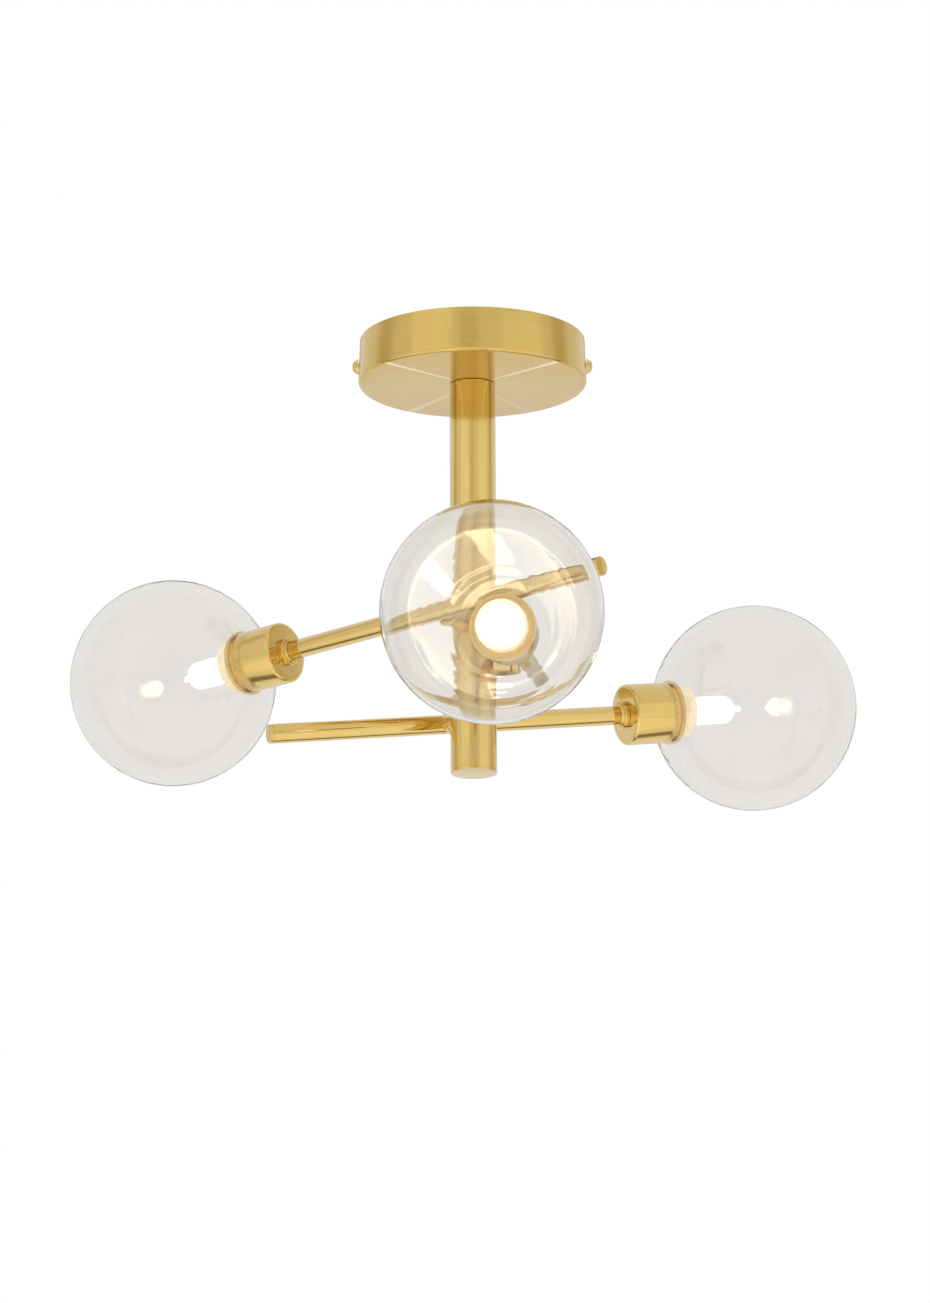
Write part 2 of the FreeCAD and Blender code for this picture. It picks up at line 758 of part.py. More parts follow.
def make_hub(name, frame):
    end = at["stem_reach"] - swivel_offset
    bar = joined_solids(
        name + "_hub_bar",
        [
            cylinder(name + "_hub_disc", at["boss_od"], at["hub_disc"], (0, hub_back, 0), "Y"),
            cylinder(name + "_hub_stem", at["stem_od"], hub_back + at["hub_disc"] - end, (0, end, 0), "Y"),
        ],
    )
    saddle_od = at["arm_od"] + 2 * at["fit"]
    tools = joined_solids(
        name + "_hub_tools",
        [
            cylinder(name + "_hub_bore", at["stem_bore"], -end, (0, end, 0), "Y"),
            cylinder(name + "_hub_saddle", saddle_od, 2 * at["boss_od"], (-at["boss_od"], 0, 0), "X"),
        ],
    )
    node("swivel_hub_" + name, cut(name + "_hub_cut", bar, tools), frame)

    thick = at["stem_nut_depth"]
    place = (0, at["saddle_face"] - at["seat"] - thick - swivel_offset, 0)
    nut = cut(
        name + "_stem_nut_bored",
        hexagon(name + "_stem_nut_bar", at["stem_nut_flats"], thick, place, "Y"),
        cylinder(name + "_stem_nut_hole", at["stem_od"] + 2 * at["fit"], thick, place, "Y"),
    )
    node("stem_nut_" + name, nut, frame)


# ---------------------------------------------------------------- arms


def make_arm_tube(name, frame):
    free_end = -(at["arm_tail"] - at["arm_cap_face"])
    bore = at["arm_od"] - 2 * at["arm_wall"]
    length = arm_end - free_end
    tools = joined_solids(
        name + "_tube_tools",
        [
            cylinder(name + "_tube_bore", bore, length, (free_end, 0, 0), "X"),
            cylinder(name + "_tube_lead_hole", at["stem_bore"], at["arm_od"], (0, -at["arm_od"], 0), "Y"),
        ],
    )
    bar = cylinder(name + "_tube_bar", at["arm_od"], length, (free_end, 0, 0), "X")
    node("arm_tube_" + name, cut(name + "_tube_drilled", bar, tools), frame)

    spigot = bore / 2 - at["fit"]
    node(
        "arm_end_cap_" + name,
        turned_along(
            name + "_arm_cap_turned",
            [
                (-at["arm_tail"], 0),
                (-at["arm_tail"], at["arm_od"] / 2),
                (free_end, at["arm_od"] / 2),
                (free_end, spigot),
                (free_end + at["arm_cap_spigot"], spigot),
                (free_end + at["arm_cap_spigot"], 0),
            ],
        ),
        frame,
    )


def make_collar(name, frame):
    front = cup_back
    step = front - at["collar_depth"]
    back = step - at["collar_step_depth"]
    chamfer = at["collar_chamfer"]
    arm_hole = at["arm_od"] / 2 + at["fit"]
    link_hole = at["link_od"] / 2 + at["fit"]
    node(
        "holder_collar_" + name,
        turned_along(
            name + "_collar_turned",
            [
                (back, arm_hole),
                (back, at["collar_step_od"] / 2 - chamfer),
                (back + chamfer, at["collar_step_od"] / 2),
                (step, at["collar_step_od"] / 2),
                (step, at["collar_od"] / 2 - chamfer),
                (step + chamfer, at["collar_od"] / 2),
                (front - chamfer, at["collar_od"] / 2),
                (front, at["collar_od"] / 2 - chamfer),
                (front, link_hole),
                (arm_end, link_hole),
                (arm_end, arm_hole),
            ],
        ),
        frame,
    )
    start = arm_end - at["link_in_arm"]
    length = cup_back + at["cup_wall"] + at["link_in_holder"] - start
    node(
        "holder_link_" + name,
        cut(
            name + "_link_bored",
            cylinder(name + "_link_bar", at["link_od"], length, (start, 0, 0), "X"),
            cylinder(name + "_link_hole", at["link_bore"], length, (start, 0, 0), "X"),
        ),
        frame,
    )


def make_cup(name, frame):
    outer = at["cup_od"] / 2
    wall = at["cup_wall"]
    edge = at["cup_edge"]
    inner_edge = edge - wall
    hole = at["link_od"] / 2 + at["fit"]
    node(
        "holder_cup_" + name,
        turned_along(
            name + "_cup_turned",
            [
                (cup_back, hole),
                (cup_back, outer - edge, edge, "right"),
                (cup_back + edge, outer),
                (cup_mouth, outer),
                (cup_mouth, outer - wall),
                (cup_back + edge, outer - wall, inner_edge, "left"),
                (cup_back + wall, outer - wall - inner_edge),
                (cup_back + wall, hole),
            ],
        ),
        frame,
    )


def make_lampholder(name, frame):
    back = cup_back + at["cup_wall"]
    shoulder = back + at["holder_boss_depth"]
    front = cup_mouth + at["holder_front"]
    pocket = front - at["holder_recess_depth"]
    sleeve = at["holder_od"] / 2
    groove = sleeve - at["thread_depth"]
    link_hole = at["link_od"] / 2 + at["fit"]
    corners = [
        (back, link_hole),
        (back, at["holder_boss_od"] / 2),
        (shoulder, at["holder_boss_od"] / 2),
        (shoulder, sleeve),
    ]
    crest = at["thread_pitch"] / 4
    for turn in range(5, 0, -1):
        start = front - turn * at["thread_pitch"]
        corners += [
            (start, sleeve),
            (start + crest, groove),
            (start + 2 * crest, groove),
            (start + 3 * crest, sleeve),
        ]
    corners += [
        (front, sleeve),
        (front, at["holder_recess_od"] / 2),
        (pocket, at["holder_recess_od"] / 2),
        (pocket, 0),
        (back + at["link_in_holder"] + at["holder_floor"], 0),
        (back + at["link_in_holder"] + at["holder_floor"], at["link_bore"] / 2),
        (back + at["link_in_holder"], at["link_bore"] / 2),
        (back + at["link_in_holder"], link_hole),
    ]
    blank = turned_along(name + "_lampholder_turned", corners)
    deep = pocket - lamp_base() + at["pin_length"] + at["fit"]
    slot = block(
        name + "_base_slot",
        deep,
        at["slot_long"],
        at["slot_short"],
        (pocket - deep, -at["slot_long"] / 2, -at["slot_short"] / 2),
    )
    node("lampholder_" + name, cut(name + "_lampholder_slotted", blank, slot), frame)


def lamp_base():
    """Where the lamp's pinch ends and its pins start, along the arm."""
    return cup_mouth + at["holder_front"] - at["holder_recess_depth"] - at["lamp_base_depth"] + at["seat"]


def make_shade(name, frame):
    inner = at["globe_od"] / 2 - at["globe_wall"]
    middle = at["arm_reach"]
    hole = at["globe_hole"] / 2
    node(
        "globe_" + name,
        turned_along(
            name + "_globe_blown",
            [
                (middle - leg(at["globe_od"] / 2, hole), hole, at["globe_od"] / 2, "right"),
                (middle + at["globe_od"] / 2, 0),
                (middle + inner, 0, inner, "left"),
                (middle - leg(inner, hole), hole),
            ],
        ),
        frame,
    )
    ring_back = middle - leg(inner, at["ring_od"] / 2) + at["seat"]
    ring_front = ring_back + at["ring_depth"]
    bore = at["holder_od"] / 2 + at["fit"]
    chamfer = at["ring_chamfer"]
    node(
        "shade_ring_" + name,
        turned_along(
            name + "_ring_turned",
            [
                (ring_back, bore),
                (ring_back, at["ring_od"] / 2),
                (ring_front - chamfer, at["ring_od"] / 2),
                (ring_front, at["ring_od"] / 2 - chamfer),
                (ring_front, bore),
            ],
        ),
        frame,
    )


def make_lamp(name, frame):
    base = lamp_base()
    tip = base + at["lamp_length"]
    radius = at["lamp_od"] / 2
    inside = radius - at["lamp_wall"]
    pinch = base + at["lamp_base_depth"]
    shoulder = at["lamp_shoulder"]
    tip_radius = at["lamp_tip_od"] / 2
    dome = tip - at["lamp_tip_length"]
    cylinder_end = dome - shoulder
    bulb = turned_along(
        name + "_lamp_blown",
        [
            (pinch, 0),
            (pinch, radius - at["lamp_wall"]),
            (pinch + at["lamp_wall"], radius),
            (cylinder_end, radius, at["lamp_od"] / 2, "right"),
            (dome, tip_radius),
            (tip - tip_radius, tip_radius, tip_radius, "right"),
            (tip, 0),
            (dome - at["lamp_wall"], 0),
            (dome - at["lamp_wall"], tip_radius / 2, inside, "left"),
            (cylinder_end, inside),
            (pinch + 2 * at["lamp_wall"], inside),
            (pinch + 2 * at["lamp_wall"], 0),
        ],
    )
    foot = block(
        name + "_lamp_pinch",
        at["lamp_base_depth"],
        at["lamp_base_long"],
        at["lamp_base_short"],
        (base, -at["lamp_base_long"] / 2, -at["lamp_base_short"] / 2),
    )
    node("lamp_glass_" + name, joined_solids(name + "_lamp_body", [bulb, foot]), frame)

    pins = [
        cylinder(
            "%s_pin_%d" % (name, side + 1),
            at["pin_od"],
            at["pin_length"],
            (base - at["pin_length"], side * at["pin_spacing"] / 2, 0),
            "X",
        )
        for side in (-1, 1)
    ]
    node("lamp_pins_" + name, loose_group(name + "_pin_pair", pins), frame)

    floor = pinch + 2 * at["lamp_wall"]
    half = at["filament_spread"] / 2
    near = FreeCAD.Vector(floor.value, -half.value, 0)
    far = FreeCAD.Vector(floor.value, half.value, 0)
    reach = X_AXIS * at["filament_length"].value
    path = lead_path([near, near + reach, far + reach, far], [half.value * 0.8, half.value * 0.8])
    ring = Part.Wire([Part.Circle(near, X_AXIS, at["filament_od"].value / 2).toShape()])
    filament = doc.addObject("Part::Feature", name + "_filament")
    filament.Shape = path.makePipeShell([ring], True, False)
    node("lamp_filament_" + name, filament, frame)


def make_arm_lead(name, frame):
    """From the lampholder along the tube, round into the swivel stem and to its end."""
    holder_end = cup_back + at["cup_wall"] + at["link_in_holder"] + at["holder_floor"] - at["seat"]
    stem_end = at["stem_reach"] - swivel_offset
    points = [
        FreeCAD.Vector(holder_end.value, 0, 0),
        ORIGIN,
        FreeCAD.Vector(0, stem_end.value, 0),
    ]
    wire = doc.addObject("Part::Feature", name + "_arm_lead")
    wire.Shape = lead(points, [at["arm_bend"].value])
    node("arm_lead_" + name, wire, frame)


def make_column_leads():
    """From each stem's end up the column, through the nipple and across to the terminal block."""
    ways = {"lower": 1, "front": 0, "upper": -1}
    wires = []
    for name, turn, step, tilt in ARMS:
        frame = swivel_frame(turn, step)
        outward = frame.Rotation.multVec(Y_AXIS)
        drop = Z_AXIS * frame.Base.z
        way = ways[name]
        level = -at["lead_drop"].value
        riser = outward * at["lead_ring"].value
        entry = FreeCAD.Vector(at["block_gap"].value, way * at["block_pitch"].value, level)
        points = [
            outward * (at["stem_reach"].value - at["seat"].value) + drop,
            riser + drop,
            riser + Z_AXIS * level,
            entry - X_AXIS * at["block_run"].value,
            entry + X_AXIS * (at["block_entry_depth"].value - at["seat"].value),
        ]
        bend = at["column_bend"].value
        wire = doc.addObject("Part::Feature", name + "_column_lead")
        wire.Shape = lead(points, [bend, bend, bend])
        wires.append(wire)
    node("column_leads", loose_group("column_lead_set", wires))


# ---------------------------------------------------------------- the whole light

make_canopy()
make_bracket()
make_side_screws()
make_terminals()
make_earth_screw()
make_column()
make_fixed_swivels()
make_column_leads()
for arm, heading_turn, height_step, tilt_alias in ARMS:
    tilted = arm_frame(heading_turn, height_step, tilt_alias)
    make_hub(arm, tilted)
    make_arm_tube(arm, tilted)
    make_collar(arm, tilted)
    make_cup(arm, tilted)
    make_lampholder(arm, tilted)
    make_shade(arm, tilted)
    make_lamp(arm, tilted)
    make_arm_lead(arm, tilted)

doc.recompute()

for piece in doc.Objects:
    if "Invalid" in piece.State or "Error" in piece.State:
        raise RuntimeError("not built: " + piece.Name)
for name, piece in nodes.items():
    if piece.Shape.isNull() or not piece.Shape.isValid():
        raise RuntimeError("bad shape: " + name)
for name, piece in nodes.items():
    piece.Shape.exportStep("parts/" + name + ".step")
print(len(nodes), "sub-parts")
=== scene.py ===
"""Looks of a semi flush ceiling light: brushed brass, clear glass globes, lit capsule lamps.

The scene is in metres and the outlines below are in millimetres. The column's pieces are turned
about Z, and an arm's pieces about the arm's own X axis, whose origin lies on the swivel axis.
"""

import math

import bpy
from mathutils import Matrix, Vector


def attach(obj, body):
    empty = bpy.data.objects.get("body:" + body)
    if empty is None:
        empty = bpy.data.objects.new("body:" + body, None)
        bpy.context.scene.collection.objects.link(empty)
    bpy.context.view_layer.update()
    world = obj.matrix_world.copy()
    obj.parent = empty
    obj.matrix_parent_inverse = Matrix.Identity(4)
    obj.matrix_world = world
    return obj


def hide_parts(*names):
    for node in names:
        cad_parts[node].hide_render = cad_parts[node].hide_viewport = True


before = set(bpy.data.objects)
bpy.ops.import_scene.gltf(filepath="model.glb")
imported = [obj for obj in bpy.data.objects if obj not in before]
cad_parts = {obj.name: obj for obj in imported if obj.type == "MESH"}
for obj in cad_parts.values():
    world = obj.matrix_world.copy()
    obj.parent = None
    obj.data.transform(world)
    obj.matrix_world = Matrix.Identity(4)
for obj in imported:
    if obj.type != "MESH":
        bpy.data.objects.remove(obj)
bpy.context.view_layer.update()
MM = 0.001

# ---------------------------------------------------------------- sizes, in millimetres

CANOPY_R = 60.0
CANOPY_RIM_R = 59.2
CANOPY_DEPTH = 24.0
CANOPY_WALL = 1.2
CANOPY_BORE_R = 5.1
COLUMN_R = 12.0
COLUMN_WALL = 1.2
COLUMN_BOTTOM = 234.0
COLUMN_DISC = 1.5
COLUMN_SPIGOT_INSET = 1.25
COLUMN_SPIGOT_WALL = 1.5
COLUMN_SPIGOT_LENGTH = 6.0
SWIVEL_TOP = 153.0
SWIVEL_PITCH = 24.0
SWIVEL_HEADING = 113.3
SWIVEL_OFFSET = 29.5
BOSS_R = 7.5
BOSS_BORE_R = 4.2
BOSS_ROOT = 11.0
BOSS_FACE = -8.95
HUB_BACK = -8.4
HUB_FACE = -4.6
STEM_R = 4.0
STEM_BORE_R = 2.5
STEM_END = 5.4
ARM_R = 5.0
ARM_WALL = 1.0
ARM_TAIL = 103.0
ARM_REACH = 178.0
ARM_DISC = 1.2
ARM_PLUG_INSET = 1.05
ARM_PLUG_LENGTH = 5.0
LINK_R = 4.0
COLLAR_R = 7.3
COLLAR_DEPTH = 3.0
COLLAR_NECK_R = 6.2
COLLAR_NECK_DEPTH = 1.5
COLLAR_LIP = 1.2
CUP_R = 16.1
CUP_WALL = 1.0
CUP_LENGTH = 24.0
HOLDER_R = 13.0
HOLDER_FRONT = 13.0
HOLDER_FOOT_R = 8.0
HOLDER_FOOT_DEPTH = 2.5
LINK_DEPTH = 5.0
POCKET_R = 8.9
POCKET_DEPTH = 11.0
GROOVES = 6
GROOVE_PITCH = 2.0
GROOVE_DEPTH = 0.5
RING_R = 17.0
RING_DEPTH = 2.8
RING_GROOVE_DEPTH = 0.5
GLOBE_R = 54.97
GLOBE_WALL = 1.5
GLOBE_HOLE_R = 13.7
GLOBE_LIP = (-0.1, -0.18)
LAMP_R = 7.3
LAMP_LENGTH = 48.4
LAMP_FOOT = 5.5
LAMP_TIP_R = 1.55
LAMP_TIP_LENGTH = 5.0
LAMP_DOME_LENGTH = 6.2
LAMP_DOME_END_R = 1.9
SEAT = 0.2
FIT = 0.05
SEAM = 0.02

CUP_MOUTH = ARM_REACH - math.sqrt(GLOBE_R**2 - (CUP_R - CUP_WALL) ** 2) - SEAT
CUP_BACK = CUP_MOUTH - CUP_LENGTH
LAMP_BASE = CUP_MOUTH + HOLDER_FRONT - POCKET_DEPTH - LAMP_FOOT + SEAT

# each arm's heading from the lower one, its place in the row of swivels, and its tilt, in degrees
ARMS = {"lower": (0, 2, 8.3), "upper": (120, 0, -3.6), "front": (240, 1, -6.1)}

# the globe's wall: its outline is finer from the neck to GLOBE_SPLIT, in degrees from the far side
GLOBE_SPLIT = 120
GLOBE_NECK_STEPS = 130
GLOBE_FRONT_STEPS = 80
# the rings in it: how far from the neck they reach, over how much of that they fade in, and their
# two periods, in degrees; the depth is in millimetres for each unit of the wave
RIPPLE_REACH = 62
RIPPLE_FADE = 30
RIPPLE_PERIODS = (8.3, 5.6)
RIPPLE_DEPTH = 0.03

# ---------------------------------------------------------------- mesh making


def rounded(corners, steps):
    """A polyline from corners (along, radius, fillet), with each fillet as an arc in steps."""
    points = []
    count = len(corners)
    for i, corner in enumerate(corners):
        here = Vector(corner[:2])
        fillet = corner[2] if len(corner) > 2 else 0
        if not fillet or i in (0, count - 1):
            points.append(here)
            continue
        back = (Vector(corners[i - 1][:2]) - here).normalized()
        on = (Vector(corners[i + 1][:2]) - here).normalized()
        half = back.angle(on) / 2
        trim = fillet / math.tan(half)
        middle = here + (back + on).normalized() * (fillet / math.sin(half))
        start = here + back * trim - middle
        turn = start.angle_signed(here + on * trim - middle)
        for k in range(steps + 1):
            points.append(middle + Matrix.Rotation(-turn * k / steps, 2) @ start)
    return points


def arc(middle, radius, start, end, steps):
    """Points on a circle about the axis point middle; angles in degrees from the axis."""
    out = []
    for k in range(steps + 1):
        a = math.radians(start + (end - start) * k / steps)
        out.append(Vector((middle + radius * math.cos(a), radius * math.sin(a))))
    return out


def dome(start, length, narrow, wide, steps):
    """A quarter of an ellipse from the wide radius to the narrow one, without its first point."""
    out = []
    for k in range(1, steps + 1):
        a = math.radians(90 * k / steps)
        out.append(Vector((start + length * math.sin(a), narrow + (wide - narrow) * math.cos(a))))
    return out


def axis_point(s, a, b, along):
    """A point at s along an axis and (a, b) across it, right-handed."""
    if along == "X":
        return (s, a, b)
    if along == "Y":
        return (b, s, a)
    return (a, b, s)


def signed_volume(mesh):
    """Positive when the faces look outwards."""
    total = 0.0
    for face in mesh.polygons:
        corners = [mesh.vertices[i].co for i in face.vertices]
        for k in range(1, len(corners) - 1):
            total += corners[0].dot(corners[k].cross(corners[k + 1]))
    return total


def lathe(name, profile, place, sides, closed=True, along="X", sharp=38):
    """An outline (along, radius) turned about an axis, as a smooth mesh with its own UVs.

    A closed outline joins its last point to its first. An open one ends on the axis at both ends.
    The UVs are millimetres round and along the outline, and sharp is the angle, in degrees, from
    which an edge is shaded sharp.
    """
    verts = []
    rings = []
    for s, r in profile:
        if r < 1e-6:
            rings.append([len(verts)])
            verts.append(axis_point(s, 0, 0, along))
            continue
        rings.append(list(range(len(verts), len(verts) + sides)))
        for k in range(sides):
            a = 2 * math.pi * k / sides
            verts.append(axis_point(s, r * math.cos(a), r * math.sin(a), along))
    faces = []
    uvs = []
    run = 0.0
    last = len(profile) if closed else len(profile) - 1
    for i in range(last):
        j = (i + 1) % len(profile)
        step = math.hypot(profile[j][0] - profile[i][0], profile[j][1] - profile[i][1])
        lower, upper = run, run + step
        run = upper
        if step < 1e-9:
            continue
        one, two = rings[i], rings[j]
        if len(one) == 1 and len(two) == 1:
            continue
        around = 2 * math.pi * max(profile[i][1], profile[j][1])
        for k in range(sides):
            n = (k + 1) % sides
            left, right = around * k / sides, around * (k + 1) / sides
            if len(one) == 1:
                faces.append((one[0], two[k], two[n]))
                uvs += [((left + right) / 2, lower), (left, upper), (right, upper)]
            elif len(two) == 1:
                faces.append((one[k], two[0], one[n]))
                uvs += [(left, lower), ((left + right) / 2, upper), (right, lower)]
            else:
                faces.append((one[k], two[k], two[n], one[n]))
                uvs += [(left, lower), (left, upper), (right, upper), (right, lower)]
    mesh = bpy.data.meshes.new(name)
    mesh.from_pydata([place @ (Vector(v) * MM) for v in verts], [], faces)
    layer = mesh.uv_layers.new(name="turned")
    for loop, uv in zip(layer.data, uvs):
        loop.uv = uv
    mesh.validate()
    if signed_volume(mesh) < 0:
        mesh.flip_normals()
    mesh.shade_smooth()
    mesh.set_sharp_from_angle(angle=math.radians(sharp))
    piece = bpy.data.objects.new(name, mesh)
    bpy.context.scene.collection.objects.link(piece)
    return piece


def dress(piece, material, body, node):
    """Gives a piece its material and its body, and hides the CAD node it stands for."""
    piece.data.materials.append(material)
    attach(piece, body)
    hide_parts(node)


def swivel_place(turn, step, tilt=0.0):
    """The frame of a swivel, tilted by the arm's rest angle."""
    heading = math.radians(SWIVEL_HEADING + turn)
    outward = Vector((math.cos(heading), math.sin(heading), 0))
    base = outward * SWIVEL_OFFSET - Vector((0, 0, SWIVEL_TOP + step * SWIVEL_PITCH))
    level = Matrix.Rotation(heading - math.pi / 2, 4, "Z")
    lift = Matrix.Rotation(-math.radians(tilt), 4, "Y")
    return Matrix.Translation(base * MM) @ level @ lift


# ---------------------------------------------------------------- shader helpers


def new_group(name, inputs, outputs):
    """An empty shader group with named sockets."""
    tree = bpy.data.node_groups.new(name, "ShaderNodeTree")
    for label, kind, value in inputs:
        socket = tree.interface.new_socket(name=label, in_out="INPUT", socket_type=kind)
        if value is not None:
            socket.default_value = value
    for label, kind in outputs:
        tree.interface.new_socket(name=label, in_out="OUTPUT", socket_type=kind)
    return tree, tree.nodes.new("NodeGroupInput"), tree.nodes.new("NodeGroupOutput")


def new_material(name):
    """A material with its node tree and its shader."""
    material = bpy.data.materials.new(name)
    material.use_nodes = True
    tree = material.node_tree
    return material, tree, tree.nodes["Principled BSDF"]


def wire(tree, source, target):
    """Links two sockets."""
    tree.links.new(source, target)


def math_node(tree, operation, first, second=None, clamp=False):
    """A sum on one or two values, each a socket or a number."""
    node = tree.nodes.new("ShaderNodeMath")
    node.operation = operation
    node.use_clamp = clamp
    for socket, value in zip(node.inputs, (first, second)):
        if value is None:
            continue
        if isinstance(value, (int, float)):
            socket.default_value = value
        else:
            wire(tree, value, socket)
    return node.outputs[0]


def ramp_node(tree, value, low, high, to_low=0.0, to_high=1.0):
    """A smooth step from to_low, where the value is low, to to_high, where it is high."""
    node = tree.nodes.new("ShaderNodeMapRange")
    node.interpolation_type = "SMOOTHSTEP"
    wire(tree, value, node.inputs["Value"])
    node.inputs["From Min"].default_value = low
    node.inputs["From Max"].default_value = high
    node.inputs["To Min"].default_value = to_low
    node.inputs["To Max"].default_value = to_high
    return node.outputs["Result"]


def noise_node(tree, vector, scale, detail, rough=0.5):
    """Smooth noise over the given coordinates."""
    node = tree.nodes.new("ShaderNodeTexNoise")
    wire(tree, vector, node.inputs["Vector"])
    node.inputs["Scale"].default_value = scale
    node.inputs["Detail"].default_value = detail
    node.inputs["Roughness"].default_value = rough
    return node.outputs["Fac"]


def mix_colour(tree, factor, first, second):
    """A mix of two colours, each a socket or a tuple, by a factor that is a socket."""
    node = tree.nodes.new("ShaderNodeMix")
    node.data_type = "RGBA"
    wire(tree, factor, node.inputs["Factor"])
    for socket, value in ((node.inputs[6], first), (node.inputs[7], second)):
        if isinstance(value, tuple):
            socket.default_value = value
        else:
            wire(tree, value, socket)
    return node.outputs[2]


def split_node(tree, vector):
    """The X, Y and Z sockets of a vector."""
    node = tree.nodes.new("ShaderNodeSeparateXYZ")
    wire(tree, vector, node.inputs[0])
    return node.outputs


def turned_uv(tree):
    """The piece's own UVs, in millimetres round and along its outline."""
    node = tree.nodes.new("ShaderNodeUVMap")
    node.uv_map = "turned"
    return node.outputs["UV"]


def object_millimetres(tree):
    """The piece's object coordinates, in millimetres."""
    coords = tree.nodes.new("ShaderNodeTexCoord")
    node = tree.nodes.new("ShaderNodeVectorMath")
    node.operation = "SCALE"
    wire(tree, coords.outputs["Object"], node.inputs[0])
    node.inputs["Scale"].default_value = 1 / MM
    return node.outputs[0]


def add_bump(tree, shader, height, strength, distance=0.02 * MM):
    """A bump of the given height socket on the shader's normal; the distance is in metres."""
    bump = tree.nodes.new("ShaderNodeBump")
    bump.inputs["Strength"].default_value = strength
    bump.inputs["Distance"].default_value = distance
    wire(tree, height, bump.inputs["Height"])
    wire(tree, bump.outputs["Normal"], shader.inputs["Normal"])


def place_group(tree, group, vector, values):
    """A shader group in a material, with the material's own values."""
    node = tree.nodes.new("ShaderNodeGroup")
    node.node_tree = group
    wire(tree, vector, node.inputs["Vector"])
    for label, value in values.items():
        node.inputs[label].default_value = value
    return node


# ---------------------------------------------------------------- shared surface effects

# heading, half width in degrees and strength of each painted glint on the canopy's underside
PAINTED_GLINT_LINES = ((-139.0, 3.4, 0.95), (-42.0, 3.4, 0.95), (125.0, 6.0, 0.4), (58.0, 6.5, 0.18))


def fine_lines_group():
    """Fine parallel lines, clouding and small marks of a brushed metal surface."""
    tree, given, out = new_group(
        "brushed_lines",
        [
            ("Vector", "NodeSocketVector", None),
            ("Line Stretch", "NodeSocketVector", (0.02, 3.0, 1.0)),
            ("Base Roughness", "NodeSocketFloat", 0.2),
            ("Roughness Spread", "NodeSocketFloat", 0.06),
        ],
        [(label, "NodeSocketFloat") for label in ("Lines", "Cloud", "Roughness")],
    )
    stretch = tree.nodes.new("ShaderNodeVectorMath")
    stretch.operation = "MULTIPLY"
    wire(tree, given.outputs["Vector"], stretch.inputs[0])
    wire(tree, given.outputs["Line Stretch"], stretch.inputs[1])
    lines = noise_node(tree, stretch.outputs[0], 1.0, 4.0, 0.6)
    cloud = noise_node(tree, given.outputs["Vector"], 0.05, 3.0, 0.55)
    line_swing = math_node(tree, "SUBTRACT", lines, 0.5)
    cloud_swing = math_node(tree, "SUBTRACT", cloud, 0.5)
    swing = math_node(tree, "ADD", line_swing, cloud_swing)
    spread = math_node(tree, "MULTIPLY", swing, given.outputs["Roughness Spread"])
    spread = math_node(tree, "MULTIPLY", spread, 2.0)
    rough = math_node(tree, "ADD", given.outputs["Base Roughness"], spread, clamp=True)
    wire(tree, lines, out.inputs["Lines"])
    wire(tree, cloud, out.inputs["Cloud"])
    wire(tree, rough, out.inputs["Roughness"])
    return tree


def edge_wear_group():
    """A mask that is high on convex edges, where handling polishes the lacquer."""
    tree, given, out = new_group(
        "edge_wear",
        [("Vector", "NodeSocketVector", None), ("Softness", "NodeSocketFloat", 0.08)],
        [("Mask", "NodeSocketFloat")],
    )
    geometry = tree.nodes.new("ShaderNodeNewGeometry")
    edge = ramp_node(tree, geometry.outputs["Pointiness"], 0.5, 0.62)
    breakup = noise_node(tree, given.outputs["Vector"], 0.6, 3.0)
    breakup = math_node(tree, "ADD", breakup, given.outputs["Softness"])
    faded = math_node(tree, "MULTIPLY", edge, breakup, clamp=True)
    wire(tree, faded, out.inputs["Mask"])
    return tree


def painted_glint_fan_group():
    """Painted highlights: the lit lamps' radial glints on a lathe-brushed disc, in two crossing
    pairs, on the canopy's underside only.
    """
    tree, given, out = new_group(
        "painted_glint_fan",
        [("Vector", "NodeSocketVector", None)],
        [("Mask", "NodeSocketFloat")],
    )
    across, depth, height = split_node(tree, given.outputs["Vector"])
    heading = math_node(tree, "ARCTAN2", depth, across)
    total = None
    for degrees, width, strength in PAINTED_GLINT_LINES:
        off = math_node(tree, "SUBTRACT", heading, math.radians(degrees))
        near = ramp_node(tree, math_node(tree, "ABSOLUTE", off), math.radians(width), 0.0)
        part = math_node(tree, "MULTIPLY", math_node(tree, "POWER", near, 2.0), strength)
        total = part if total is None else math_node(tree, "ADD", total, part)
    under = ramp_node(tree, height, -CANOPY_DEPTH + 0.25, -CANOPY_DEPTH + 0.05)
    wire(tree, math_node(tree, "MULTIPLY", total, under, clamp=True), out.inputs["Mask"])
    return tree


LINES = fine_lines_group()
WEAR = edge_wear_group()
PAINTED_GLINTS = painted_glint_fan_group()

# ---------------------------------------------------------------- finishes

BLACK = (0, 0, 0, 1)
WHITE = (1, 1, 1, 1)
BRASS_DARK = (0.67, 0.46, 0.115, 1)
BRASS_LIGHT = (0.74, 0.53, 0.16, 1)
BRASS_WORN = (0.92, 0.76, 0.46, 1)
# the colour of the painted highlights on the canopy's underside
BRASS_PAINTED_GLINT = (1.0, 0.9, 0.66, 1)
# the colours of painted lamplight, an emission on brass near the lamps
PAINTED_LAMPLIGHT_LOW = (1.0, 0.76, 0.46, 1)
PAINTED_LAMPLIGHT_HIGH = (1.0, 0.84, 0.58, 1)
LACQUER_ROUGHNESS = 0.08
ROUND_LINES = (0.012, 4.0, 1.0)
LONG_LINES = (2.2, 0.02, 1.0)
# strength of the lampholders' painted lamplight
CERAMIC_PAINTED_LAMPLIGHT = 0.6
LAMP_GLOW = 1.35
FILAMENT_GLOW = 8.0


